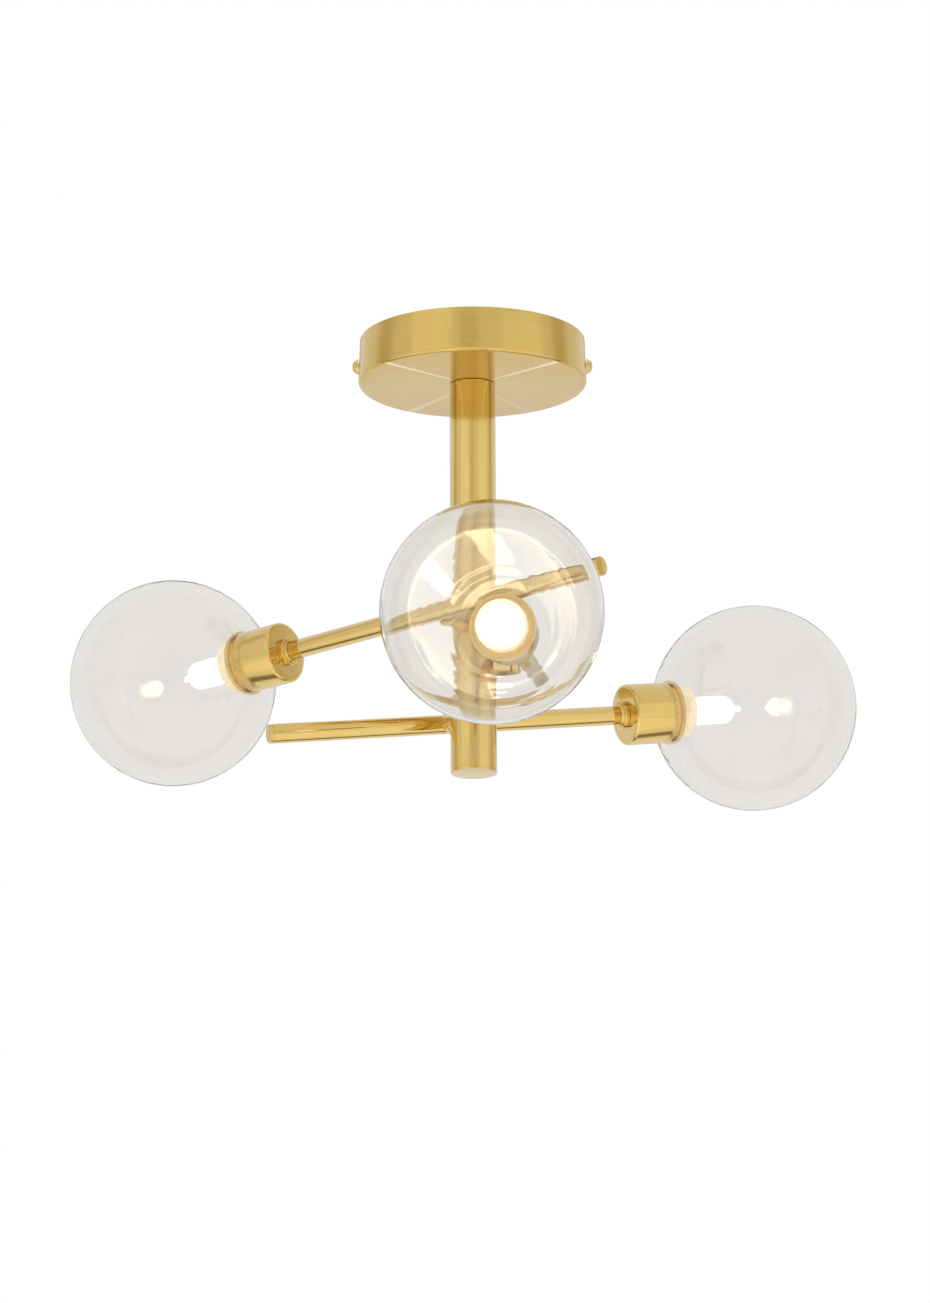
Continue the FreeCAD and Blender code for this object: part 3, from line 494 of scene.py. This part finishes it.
def metal(
    name,
    dark,
    light,
    rough,
    spread,
    stretch,
    bump,
    uv=True,
    aniso=0.0,
    worn=BRASS_WORN,
    painted_glints=False,
    glow=0.0,
    lacquer=0.8,
):
    """A brushed metal: two tones, fine lines in roughness and bump, and brighter edges.

    With uv the lines follow the piece's outline, otherwise its object coordinates. painted_glints
    adds the underside's painted highlights, glow is an emission that paints lamplight on the piece,
    and lacquer is a clear coat's weight.
    """
    material, tree, shader = new_material(name)
    vector = turned_uv(tree) if uv else object_millimetres(tree)
    line_values = {"Line Stretch": stretch, "Base Roughness": rough, "Roughness Spread": spread}
    lines = place_group(tree, LINES, vector, line_values)
    wear = place_group(tree, WEAR, vector, {"Softness": 0.1})
    grain = math_node(tree, "MULTIPLY", lines.outputs["Lines"], 0.6)
    clouding = math_node(tree, "MULTIPLY", lines.outputs["Cloud"], 0.4)
    toned = math_node(tree, "ADD", grain, clouding)
    colour = mix_colour(tree, ramp_node(tree, toned, 0.3, 0.7), dark, light)
    colour = mix_colour(tree, math_node(tree, "MULTIPLY", wear.outputs["Mask"], 0.4), colour, worn)
    # painted highlight: the underside's glint lines are lighter brass in the colour
    if painted_glints:
        spun = place_group(tree, PAINTED_GLINTS, object_millimetres(tree), {})
        colour = mix_colour(tree, spun.outputs["Mask"], colour, BRASS_PAINTED_GLINT)
    wire(tree, colour, shader.inputs["Base Color"])
    wire(tree, lines.outputs["Roughness"], shader.inputs["Roughness"])
    shader.inputs["Metallic"].default_value = 1.0
    shader.inputs["Coat Weight"].default_value = lacquer
    shader.inputs["Coat Roughness"].default_value = LACQUER_ROUGHNESS
    if aniso:
        shader.inputs["Anisotropic"].default_value = aniso
        shader.inputs["Anisotropic Rotation"].default_value = 0.25
        tangent = tree.nodes.new("ShaderNodeTangent")
        tangent.direction_type = "UV_MAP"
        tangent.uv_map = "turned"
        wire(tree, tangent.outputs["Tangent"], shader.inputs["Tangent"])
    # painted light: an emission in place of the lamp's light falling on the piece
    if glow:
        lit = mix_colour(tree, lines.outputs["Cloud"], PAINTED_LAMPLIGHT_LOW, PAINTED_LAMPLIGHT_HIGH)
        wire(tree, lit, shader.inputs["Emission Color"])
        shader.inputs["Emission Strength"].default_value = glow
    add_bump(tree, shader, lines.outputs["Lines"], bump)
    return material


def glass(name, dark, light, clean, dusty, ior, bump):
    """Blown clear glass with a faint uneven surface and a breath of dust in its roughness."""
    material, tree, shader = new_material(name)
    vector = object_millimetres(tree)
    shader.inputs["Transmission Weight"].default_value = 1.0
    shader.inputs["Metallic"].default_value = 0.0
    shader.inputs["IOR"].default_value = ior
    shader.inputs["Specular IOR Level"].default_value = 0.3
    cloud = noise_node(tree, vector, 0.03, 3.0)
    colour = mix_colour(tree, ramp_node(tree, cloud, 0.3, 0.7), dark, light)
    wire(tree, colour, shader.inputs["Base Color"])
    wire(tree, ramp_node(tree, cloud, 0.55, 0.8, clean, dusty), shader.inputs["Roughness"])
    add_bump(tree, shader, cloud, bump, 0.6 * MM)
    return material


def plain_moulded(name, dark, light, rough, grain, bump, painted_light_run=None):
    """Ceramic or plastic: two close tones, a fine grain and uneven gloss.

    painted_light_run holds two lengths along the piece's own outline, in millimetres. An emission
    paints the lamp's light on the piece from the first on, and is full from the second.
    """
    material, tree, shader = new_material(name)
    vector = turned_uv(tree) if painted_light_run else object_millimetres(tree)
    cloud = noise_node(tree, vector, 0.12, 4.0)
    speck = noise_node(tree, vector, grain, 4.0, 0.7)
    colour = mix_colour(tree, ramp_node(tree, cloud, 0.35, 0.65), dark, light)
    wire(tree, colour, shader.inputs["Base Color"])
    gloss = ramp_node(tree, speck, 0.3, 0.7, rough - 0.08, rough + 0.08)
    wire(tree, gloss, shader.inputs["Roughness"])
    add_bump(tree, shader, speck, bump, 0.08 * MM)
    # painted light: a warm emission for the lamp's light on the piece towards its front
    if painted_light_run:
        warmth = ramp_node(tree, split_node(tree, vector)["Y"], *painted_light_run)
        patchy = ramp_node(tree, cloud, 0.2, 0.8, 0.85, 1.0)
        share = math_node(tree, "MULTIPLY", warmth, patchy)
        lit = mix_colour(tree, share, BLACK, (1.0, 0.8, 0.47, 1))
        wire(tree, lit, shader.inputs["Emission Color"])
        shader.inputs["Emission Strength"].default_value = CERAMIC_PAINTED_LAMPLIGHT
    return material


def lit_glass_material():
    """The lit capsule: clear glass whose middle glows, cooler and clearer towards tip and foot."""
    material, tree, shader = new_material("lamp_capsule_lit")
    shader.inputs["Transmission Weight"].default_value = 1.0
    shader.inputs["IOR"].default_value = 1.46
    vector = turned_uv(tree)
    run = split_node(tree, vector)["Y"]
    rise = ramp_node(tree, run, 3.0, 12.0)
    fall = ramp_node(tree, run, 46.0, 26.0, 0.3, 1.0)
    band = math_node(tree, "MULTIPLY", rise, fall)
    streak = noise_node(tree, vector, 0.25, 3.0)
    glow = math_node(tree, "MULTIPLY", band, ramp_node(tree, streak, 0.2, 0.8, 0.8, 1.2))
    colour = mix_colour(tree, glow, (0.55, 0.3, 0.1, 1), (1.0, 0.83, 0.56, 1))
    wire(tree, colour, shader.inputs["Emission Color"])
    shader.inputs["Emission Strength"].default_value = LAMP_GLOW
    shader.inputs["Base Color"].default_value = (0.98, 0.97, 0.95, 1)
    wire(tree, ramp_node(tree, streak, 0.3, 0.7, 0.02, 0.1), shader.inputs["Roughness"])
    return material


def filament_material():
    """The white-hot wire."""
    material, tree, shader = new_material("filament_white_hot")
    wave = noise_node(tree, object_millimetres(tree), 2.0, 2.0)
    colour = mix_colour(tree, wave, (1.0, 0.78, 0.45, 1), (1.0, 0.92, 0.75, 1))
    wire(tree, colour, shader.inputs["Emission Color"])
    wire(tree, colour, shader.inputs["Base Color"])
    shader.inputs["Emission Strength"].default_value = FILAMENT_GLOW
    shader.inputs["Roughness"].default_value = 0.5
    return material


brass_canopy = metal(
    "canopy_brass_lathe_brushed",
    dark=(0.62, 0.42, 0.1, 1),
    light=(0.68, 0.48, 0.14, 1),
    rough=0.22,
    spread=0.03,
    stretch=ROUND_LINES,
    bump=0.05,
    aniso=0.8,
    painted_glints=True,
    lacquer=0.4,
)
brass_tube = metal("tube_brass_satin", BRASS_DARK, BRASS_LIGHT, 0.13, 0.03, LONG_LINES, 0.03)
brass_turned = metal("turned_brass_satin", BRASS_DARK, BRASS_LIGHT, 0.14, 0.03, ROUND_LINES, 0.04)
# the shade rings' brass, with painted lamplight as a faint warm emission
brass_painted_lamplight = metal(
    "brass_with_painted_lamplight",
    BRASS_DARK,
    BRASS_LIGHT,
    rough=0.14,
    spread=0.03,
    stretch=ROUND_LINES,
    bump=0.04,
    glow=0.12,
)
brass_cut = metal(
    "small_brass_parts",
    BRASS_DARK,
    BRASS_LIGHT,
    rough=0.2,
    spread=0.04,
    stretch=(1.5, 1.5, 1.5),
    bump=0.06,
    uv=False,
)
zinc = metal(
    "zinc_plated_steel",
    dark=(0.42, 0.44, 0.46, 1),
    light=(0.62, 0.63, 0.64, 1),
    rough=0.36,
    spread=0.08,
    stretch=(0.4, 3.0, 0.4),
    bump=0.2,
    uv=False,
    worn=(0.8, 0.8, 0.8, 1),
    lacquer=0.0,
)
globe_glass = glass(
    "globe_clear_glass",
    dark=(0.862, 0.85, 0.832, 1),
    light=(0.885, 0.873, 0.855, 1),
    clean=0.0,
    dusty=0.02,
    ior=1.46,
    bump=0.22,
)
# the lampholder sleeves, with painted lamplight towards the bulb
ceramic = plain_moulded(
    "holder_pale_ceramic",
    dark=(0.83, 0.79, 0.7, 1),
    light=(0.9, 0.87, 0.8, 1),
    rough=0.42,
    grain=2.5,
    bump=0.2,
    painted_light_run=(9.0, 12.0),
)
block_plastic = plain_moulded(
    "terminal_pale_plastic",
    dark=(0.8, 0.79, 0.75, 1),
    light=(0.86, 0.85, 0.81, 1),
    rough=0.38,
    grain=3.0,
    bump=0.15,
)
sheath = plain_moulded(
    "lead_silicone_sheath",
    dark=(0.74, 0.72, 0.67, 1),
    light=(0.82, 0.8, 0.75, 1),
    rough=0.5,
    grain=4.0,
    bump=0.25,
)
fibre = plain_moulded(
    "washer_dark_fibre",
    dark=(0.025, 0.017, 0.012, 1),
    light=(0.07, 0.05, 0.035, 1),
    rough=0.7,
    grain=5.0,
    bump=0.5,
)
lamp_lit = lit_glass_material()
filament = filament_material()

# ---------------------------------------------------------------- canopy and column

CEILING = Matrix.Identity(4)


def make_canopy():
    depth = CANOPY_DEPTH
    wall = CANOPY_WALL
    profile = rounded(
        [
            (-depth, CANOPY_BORE_R),
            (-depth, CANOPY_R, 2.0),
            (0, CANOPY_RIM_R, 0.35),
            (0, CANOPY_RIM_R - wall, 0.25),
            (-depth + wall, CANOPY_R - wall, 0.8),
            (-depth + wall, CANOPY_BORE_R),
        ],
        6,
    )
    dress(
        lathe("canopy_cup", profile, CEILING, sides=192, along="Z", sharp=50),
        brass_canopy,
        "hanging_frame",
        "canopy",
    )


def make_column():
    top = -CANOPY_DEPTH
    seam = -(COLUMN_BOTTOM - COLUMN_DISC)
    tube = rounded(
        [
            (top - FIT, COLUMN_R - COLUMN_WALL),
            (top - FIT, COLUMN_R, 0.6),
            (seam + SEAM, COLUMN_R, 0.12),
            (seam + SEAM, COLUMN_R - COLUMN_WALL),
        ],
        4,
    )
    dress(
        lathe("column_pipe", tube, CEILING, sides=128, along="Z"),
        brass_tube,
        "hanging_frame",
        "column_tube",
    )
    spigot = COLUMN_R - COLUMN_SPIGOT_INSET
    inner = spigot - COLUMN_SPIGOT_WALL
    cap = rounded(
        [
            (-COLUMN_BOTTOM, 0),
            (-COLUMN_BOTTOM, COLUMN_R, 0.35),
            (seam, COLUMN_R, 0.12),
            (seam, spigot),
            (seam + COLUMN_SPIGOT_LENGTH, spigot),
            (seam + COLUMN_SPIGOT_LENGTH, inner),
            (seam, inner),
            (seam, 0),
        ],
        5,
    )
    dress(
        lathe("column_foot_disc", cap, CEILING, sides=128, along="Z"),
        brass_turned,
        "hanging_frame",
        "column_end_cap",
    )


def make_boss(arm, place):
    root = BOSS_ROOT - SWIVEL_OFFSET
    profile = rounded(
        [(root, BOSS_BORE_R), (root, BOSS_R), (BOSS_FACE, BOSS_R, 0.4), (BOSS_FACE, BOSS_BORE_R)],
        4,
    )
    dress(
        lathe("swivel_boss_" + arm + "_turned", profile, place, sides=72, along="Y"),
        brass_turned,
        "hanging_frame",
        "swivel_boss_" + arm,
    )


# ---------------------------------------------------------------- arms


def make_hub(arm, place, body):
    stem_end = STEM_END - SWIVEL_OFFSET
    profile = rounded(
        [
            (stem_end, STEM_BORE_R),
            (stem_end, STEM_R),
            (HUB_BACK, STEM_R),
            (HUB_BACK, BOSS_R, 0.3),
            (HUB_FACE, BOSS_R, 0.5),
            (HUB_FACE, STEM_BORE_R),
        ],
        4,
    )
    dress(
        lathe("swivel_hub_" + arm + "_turned", profile, place, sides=72, along="Y"),
        brass_turned,
        body,
        "swivel_hub_" + arm,
    )


def make_tube(arm, place, body):
    free_end = -(ARM_TAIL - ARM_DISC)
    arm_end = CUP_BACK - COLLAR_LIP
    tube = rounded(
        [
            (free_end + SEAM, ARM_R - ARM_WALL),
            (free_end + SEAM, ARM_R, 0.1),
            (arm_end, ARM_R, 0.1),
            (arm_end, ARM_R - ARM_WALL),
        ],
        3,
    )
    dress(
        lathe("arm_pipe_" + arm, tube, place, sides=72),
        brass_tube,
        body,
        "arm_tube_" + arm,
    )
    plug = ARM_R - ARM_PLUG_INSET
    cap = rounded(
        [
            (-ARM_TAIL, 0),
            (-ARM_TAIL, ARM_R, 0.3),
            (free_end, ARM_R, 0.1),
            (free_end, plug),
            (free_end + ARM_PLUG_LENGTH, plug),
            (free_end + ARM_PLUG_LENGTH, 0),
        ],
        4,
    )
    dress(
        lathe("arm_plug_" + arm, cap, place, sides=72),
        brass_turned,
        body,
        "arm_end_cap_" + arm,
    )


def make_collar(arm, place, body):
    front = CUP_BACK
    step = front - COLLAR_DEPTH
    back = step - COLLAR_NECK_DEPTH
    profile = rounded(
        [
            (back, ARM_R + FIT),
            (back, COLLAR_NECK_R, 0.4),
            (step, COLLAR_NECK_R, 0.15),
            (step, COLLAR_R, 0.45),
            (front, COLLAR_R, 0.35),
            (front, LINK_R),
            (front - COLLAR_LIP, LINK_R),
            (front - COLLAR_LIP, ARM_R + FIT),
        ],
        4,
    )
    dress(
        lathe("collar_" + arm + "_turned", profile, place, sides=72),
        brass_turned,
        body,
        "holder_collar_" + arm,
    )


def make_cup(arm, place, body):
    floor = CUP_BACK + CUP_WALL
    inner = CUP_R - CUP_WALL
    profile = rounded(
        [
            (CUP_BACK, LINK_R),
            (CUP_BACK, CUP_R, 1.6),
            (CUP_MOUTH, CUP_R, 0.3),
            (CUP_MOUTH, inner, 0.3),
            (floor, inner, 0.6),
            (floor, LINK_R),
        ],
        6,
    )
    dress(
        lathe("cup_" + arm + "_spun", profile, place, sides=112),
        brass_turned,
        body,
        "holder_cup_" + arm,
    )


def make_lampholder(arm, place, body):
    back = CUP_BACK + CUP_WALL
    shoulder = back + HOLDER_FOOT_DEPTH
    front = CUP_MOUTH + HOLDER_FRONT
    pocket = front - POCKET_DEPTH
    link_end = back + LINK_DEPTH
    quarter = GROOVE_PITCH / 4
    valley = HOLDER_R - GROOVE_DEPTH
    corners = [
        (back, LINK_R),
        (back, HOLDER_FOOT_R, 0.3),
        (shoulder, HOLDER_FOOT_R),
        (shoulder, HOLDER_R, 0.6),
    ]
    for turn in range(GROOVES, 0, -1):
        start = front - turn * GROOVE_PITCH
        corners += [
            (start, HOLDER_R, 0.15),
            (start + quarter, valley, 0.2),
            (start + 2 * quarter, valley, 0.2),
            (start + 3 * quarter, HOLDER_R, 0.15),
        ]
    corners += [
        (front, HOLDER_R, 0.3),
        (front, POCKET_R, 0.4),
        (pocket, POCKET_R, 0.3),
        (pocket, 0),
        (link_end, 0),
        (link_end, LINK_R),
    ]
    dress(
        lathe("lampholder_" + arm + "_sleeve", rounded(corners, 3), place, sides=96, sharp=60),
        ceramic,
        body,
        "lampholder_" + arm,
    )


def make_ring(arm, place, body):
    back = ARM_REACH - math.sqrt((GLOBE_R - GLOBE_WALL) ** 2 - RING_R**2) + SEAT
    front = back + RING_DEPTH
    rim = front - RING_GROOVE_DEPTH
    bore = HOLDER_R + FIT
    # the last corner repeats the first, so that the one before it gets its fillet
    profile = rounded(
        [
            (back, bore),
            (back, RING_R, 0.5),
            (rim, RING_R, 0.6),
            (rim, RING_R - 1.3, 0.2),
            (rim - RING_GROOVE_DEPTH, RING_R - 1.6, 0.2),
            (rim, RING_R - 1.9, 0.2),
            (front, RING_R - 2.4, 0.3),
            (front, bore, 0.25),
            (back, bore),
        ],
        5,
    )[:-1]
    dress(
        lathe("shade_ring_" + arm + "_turned", profile, place, sides=112),
        brass_painted_lamplight,
        body,
        "shade_ring_" + arm,
    )


def ripple(point):
    """Sinks a point of the globe's wall into the fine rings that blowing leaves near the neck."""
    out = point - Vector((ARM_REACH, 0))
    turn = 180 - math.degrees(math.atan2(out.y, out.x))
    if turn > RIPPLE_REACH:
        return
    fade = (RIPPLE_REACH - turn) / RIPPLE_FADE
    coarse, fine = (turn * 2 * math.pi / period for period in RIPPLE_PERIODS)
    wave = math.cos(coarse) + 0.6 * math.cos(fine + 1)
    # 1.6 is the most that the two waves can add up to, so no ring stands out of the sphere
    out.length -= RIPPLE_DEPTH * min(fade, 1) * (1.6 + wave)
    point[:] = out + Vector((ARM_REACH, 0))


def make_globe(arm, place, body):
    inner = GLOBE_R - GLOBE_WALL
    outer_open = math.degrees(math.asin(GLOBE_HOLE_R / GLOBE_R))
    inner_open = math.degrees(math.asin(GLOBE_HOLE_R / inner))
    outside = arc(ARM_REACH, GLOBE_R, 180 - outer_open, GLOBE_SPLIT, GLOBE_NECK_STEPS)
    outside += arc(ARM_REACH, GLOBE_R, GLOBE_SPLIT, 0, GLOBE_FRONT_STEPS)[1:]
    inside = arc(ARM_REACH, inner, 0, GLOBE_SPLIT, GLOBE_FRONT_STEPS)
    inside += arc(ARM_REACH, inner, GLOBE_SPLIT, 180 - inner_open, GLOBE_NECK_STEPS)[1:]
    for point in outside[1:] + inside[:-1]:
        ripple(point)
    outside[-1][1] = 0.0
    inside[0][1] = 0.0
    lip = (outside[0] + inside[-1]) / 2 + Vector(GLOBE_LIP)
    dress(
        lathe("globe_" + arm + "_blown", outside + inside + [lip], place, sides=220, sharp=80),
        globe_glass,
        body,
        "globe_" + arm,
    )


def make_lamp(arm, place, body):
    foot = LAMP_BASE + LAMP_FOOT
    neck = LAMP_BASE + LAMP_LENGTH - LAMP_TIP_LENGTH
    shoulder = neck - LAMP_DOME_LENGTH - 0.2
    outline = [
        Vector((foot, 0)),
        Vector((foot, LAMP_R - 2.1)),
        Vector((foot + 0.5, LAMP_R - 1.0)),
        Vector((foot + 1.6, LAMP_R)),
        Vector((shoulder, LAMP_R)),
    ]
    outline += dome(shoulder, LAMP_DOME_LENGTH, LAMP_DOME_END_R, LAMP_R, 9)
    outline += [Vector((neck + 0.6, LAMP_TIP_R)), Vector((neck + 2.4, LAMP_TIP_R - 0.05))]
    outline += dome(neck + 3.3, 1.6, 0, LAMP_TIP_R, 6)
    outline[-1][1] = 0.0
    dress(
        lathe("lamp_capsule_" + arm, outline, place, sides=64, closed=False, sharp=60),
        lamp_lit,
        body,
        "lamp_glass_" + arm,
    )


make_canopy()
make_column()
for arm, (turn, step, tilt) in ARMS.items():
    place = swivel_place(turn, step, tilt)
    body = "arm_" + arm
    make_boss(arm, swivel_place(turn, step))
    make_hub(arm, place, body)
    make_tube(arm, place, body)
    make_collar(arm, place, body)
    make_cup(arm, place, body)
    make_lampholder(arm, place, body)
    make_ring(arm, place, body)
    make_globe(arm, place, body)
    make_lamp(arm, place, body)

# ---------------------------------------------------------------- the pieces kept from the frame

KEPT = {
    "canopy_side_screws": brass_cut,
    "canopy_side_washers": brass_cut,
    "ceiling_bracket": zinc,
    "terminal_block": block_plastic,
    "terminal_screws": zinc,
    "earth_screw": brass_cut,
    "column_plug": zinc,
    "canopy_nipple": zinc,
    "canopy_nut": zinc,
    "friction_washers": fibre,
    "saddle_washers": zinc,
    "column_leads": sheath,
}
for arm in ARMS:
    KEPT["stem_nut_" + arm] = zinc
    KEPT["holder_link_" + arm] = zinc
    KEPT["lamp_pins_" + arm] = zinc
    KEPT["lamp_filament_" + arm] = filament
    KEPT["arm_lead_" + arm] = sheath
for name, material in KEPT.items():
    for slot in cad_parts[name].material_slots:
        slot.material = material

# ---------------------------------------------------------------- floor

FLOOR_REACH = 9.8
FLOOR_LEVEL = -4.6
FLOOR_COLOUR = (0.86, 0.86, 0.85)
FLOOR_GLOW = 0.42
# the dark stripe that the metal mirrors, in millimetres: its middle behind the light, and how far
# from there it ends and is at its full depth
STRIPE_MIDDLE = 2120.0
STRIPE_END = 1140.0
STRIPE_FULL = 490.0
STRIPE_DEPTH = 0.7
# the floor's mirrored glow falls from full to FAR_GLOW within FADE_REACH of the light's axis
FADE_REACH = 490.0
FAR_GLOW = 0.6
SEEN_GLOW = 0.75


def floor_material():
    """A pale floor that lights itself a little to the camera, through glass and in the metal."""
    material, tree, shader = new_material("studio_floor_pale")
    vector = object_millimetres(tree)
    cloud = noise_node(tree, vector, 0.002, 3.0)
    clouded = tuple(c * 0.985 for c in FLOOR_COLOUR)
    tint = mix_colour(tree, cloud, FLOOR_COLOUR + (1,), clouded + (1,))
    depth = split_node(tree, vector)["Y"]
    off = math_node(tree, "ABSOLUTE", math_node(tree, "SUBTRACT", depth, STRIPE_MIDDLE))
    path = tree.nodes.new("ShaderNodeLightPath")
    camera, glossy, through = (
        path.outputs[label] for label in ("Is Camera Ray", "Is Glossy Ray", "Is Transmission Ray")
    )
    mirrored = math_node(tree, "SUBTRACT", glossy, through, clamp=True)
    stripe = ramp_node(tree, off, STRIPE_END, STRIPE_FULL)
    stripe = math_node(tree, "MULTIPLY", stripe, mirrored)
    tint = mix_colour(tree, math_node(tree, "MULTIPLY", stripe, STRIPE_DEPTH), tint, BLACK)
    glow = math_node(tree, "SUBTRACT", mirrored, stripe, clamp=True)
    near = ramp_node(tree, depth, -FADE_REACH, FADE_REACH, 1.0, FAR_GLOW)
    glow = math_node(tree, "MULTIPLY", glow, near)
    seen = math_node(tree, "MAXIMUM", camera, through)
    glow = math_node(tree, "MAXIMUM", glow, math_node(tree, "MULTIPLY", seen, SEEN_GLOW))
    wire(tree, mix_colour(tree, glow, BLACK, WHITE), shader.inputs["Emission Color"])
    shader.inputs["Emission Strength"].default_value = FLOOR_GLOW
    wire(tree, tint, shader.inputs["Base Color"])
    shader.inputs["Roughness"].default_value = 0.8
    return material


def make_floor():
    mesh = bpy.data.meshes.new("studio_floor")
    reach = FLOOR_REACH
    corners = [(-reach, -reach), (reach, -reach), (reach, reach), (-reach, reach)]
    mesh.from_pydata([(x, y, FLOOR_LEVEL) for x, y in corners], [], [(0, 1, 2, 3)])
    mesh.materials.append(floor_material())
    floor = bpy.data.objects.new("studio_floor", mesh)
    bpy.context.scene.collection.objects.link(floor)


# ---------------------------------------------------------------- room and lamps

# the mirrored room's brightness, and the share of it that is left in each band
ROOM_LEVEL = 0.88
REAR_LEVEL = 0.85
TOP_LEVEL = 0.88
CARD_LEVEL = 0.82
SIDE_LEVEL = 0.76
LOW_FRONT_LEVEL = 1.14
RIM_LEVEL = 0.74
# where the bands lie: headings in degrees from the viewer's side, heights from -1 to 1, and the
# rim in degrees from the line of sight; each pair runs from a band's outer to its inner edge
REAR_EDGE = (112.0, 140.0)
CARD_HEADING = -3.0
CARD_EDGE = (12.0, 5.0)
CARD_TOP = (0.55, 0.35)
CARD_FOOT = (0.02, 0.14)
SIDE_HEADING = 101.0
SIDE_EDGE = (18.0, 4.0)
LOW_FRONT_TOP = (-0.08, -0.3)
LOW_FRONT_EDGE = (110.0, 80.0)
TOP_EDGE = (0.55, 0.85)
RIM_ANGLE = 14.0
RIM_EDGE = (9.0, 3.0)
ROOM_DIM = (1.0, 0.84, 0.62, 1)
ROOM_BRIGHT = (1.0, 0.995, 0.985, 1)
# the photograph's line of sight, as its parts along Y and Z
SIGHT = (0.967, 0.253)
PANEL_TARGET = Vector((0, 0, -0.15))
# place and size in metres, power in watts
PANELS = {
    "key_panel": ((-2.1, -2.3, 1.1), (2.4, 2.4), 3.5),
    "fill_panel": ((2.4, -1.9, 0.2), (2.4, 2.4), 3.0),
    "low_panel": ((0, -2.6, -4.0), (3.9, 2.6), 6.5),
}


def make_world():
    """White to the camera and through glass; what is mirrored is a pale room with soft bands.

    They are a dim card in the middle of the viewer's side, a brighter low front, dim sides, and
    a dim ring round the line of sight behind the light.
    """
    world = bpy.data.worlds.new("studio")
    bpy.context.scene.world = world
    world.use_nodes = True
    tree = world.node_tree
    background = tree.nodes["Background"]
    coords = tree.nodes.new("ShaderNodeTexCoord")
    across, depth, height = split_node(tree, coords.outputs["Generated"])

    def times(first, second):
        return math_node(tree, "MULTIPLY", first, second)

    def distance(value, middle):
        return math_node(tree, "ABSOLUTE", math_node(tree, "SUBTRACT", value, middle))

    heading = times(math_node(tree, "ARCTAN2", across, times(depth, -1.0)), 180 / math.pi)
    wide = math_node(tree, "ABSOLUTE", heading)
    level = ramp_node(tree, wide, *REAR_EDGE, ROOM_LEVEL, REAR_LEVEL)
    card = ramp_node(tree, distance(heading, CARD_HEADING), *CARD_EDGE)
    card = times(card, ramp_node(tree, height, *CARD_TOP))
    card = times(card, ramp_node(tree, height, *CARD_FOOT))
    level = times(level, ramp_node(tree, card, 0.0, 1.0, 1.0, CARD_LEVEL))
    side = distance(wide, SIDE_HEADING)
    level = times(level, ramp_node(tree, side, *SIDE_EDGE, 1.0, SIDE_LEVEL))
    low = ramp_node(tree, height, *LOW_FRONT_TOP)
    low_front = times(low, ramp_node(tree, wide, *LOW_FRONT_EDGE))
    level = times(level, ramp_node(tree, low_front, 0.0, 1.0, 1.0, LOW_FRONT_LEVEL))
    top = ramp_node(tree, height, *TOP_EDGE, 0.0, TOP_LEVEL)
    level = math_node(tree, "MAXIMUM", level, top)
    ahead = math_node(tree, "ADD", times(depth, SIGHT[0]), times(height, SIGHT[1]))
    rim = times(math_node(tree, "ARCCOSINE", ahead), 180 / math.pi)
    rim = distance(rim, RIM_ANGLE)
    level = times(level, ramp_node(tree, rim, *RIM_EDGE, 1.0, RIM_LEVEL))
    path = tree.nodes.new("ShaderNodeLightPath")
    camera, through = path.outputs["Is Camera Ray"], path.outputs["Is Transmission Ray"]
    seen = math_node(tree, "MAXIMUM", camera, through)
    tint = mix_colour(tree, ramp_node(tree, level, 0.5, 0.9), ROOM_DIM, ROOM_BRIGHT)
    mirrored = mix_colour(tree, level, BLACK, tint)
    wire(tree, mix_colour(tree, seen, mirrored, WHITE), background.inputs["Color"])
    background.inputs["Strength"].default_value = 1.0


def make_lamp_panel(name, place, size, power):
    """A soft flat lamp, turned to the middle of the arms."""
    data = bpy.data.lights.new(name, "AREA")
    data.shape = "RECTANGLE"
    data.size, data.size_y = size
    data.energy = power
    lamp = bpy.data.objects.new(name, data)
    lamp.location = place
    direction = PANEL_TARGET - Vector(place)
    lamp.rotation_euler = direction.to_track_quat("-Z", "Y").to_euler()
    bpy.context.scene.collection.objects.link(lamp)


# ---------------------------------------------------------------- camera

FOCAL_PIXELS = 5586.13
PICTURE_HEIGHT = 1303
SENSOR_HEIGHT = 36.0
# place in millimetres; yaw, pitch and roll in degrees
CAMERA_PLACE = (-5.911, -2804.784, -903.324)
CAMERA_TURN = (0.031, 14.675, -0.191)


def make_camera():
    """The photograph's viewpoint: low, a little left of the middle, looking up."""
    data = bpy.data.cameras.new("photo_view")
    data.sensor_fit = "VERTICAL"
    data.sensor_height = SENSOR_HEIGHT
    data.lens = FOCAL_PIXELS / PICTURE_HEIGHT * SENSOR_HEIGHT
    data.clip_end = 50
    camera = bpy.data.objects.new("photo_view", data)
    yaw, pitch, roll = (math.radians(a) for a in CAMERA_TURN)
    level = math.cos(pitch)
    forward = Vector((math.sin(yaw) * level, math.cos(yaw) * level, math.sin(pitch)))
    right = forward.cross(Vector((0, 0, 1))).normalized()
    up = right.cross(forward)
    across = right * math.cos(roll) + up * math.sin(roll)
    upward = up * math.cos(roll) - right * math.sin(roll)
    turn = Matrix((across, upward, -forward)).transposed().to_4x4()
    camera.matrix_world = Matrix.Translation(Vector(CAMERA_PLACE) * MM) @ turn
    bpy.context.scene.collection.objects.link(camera)
    bpy.context.scene.camera = camera


make_floor()
make_world()
for name, (place, size, power) in PANELS.items():
    make_lamp_panel(name, place, size, power)
make_camera()
bpy.context.scene.view_settings.view_transform = "Standard"
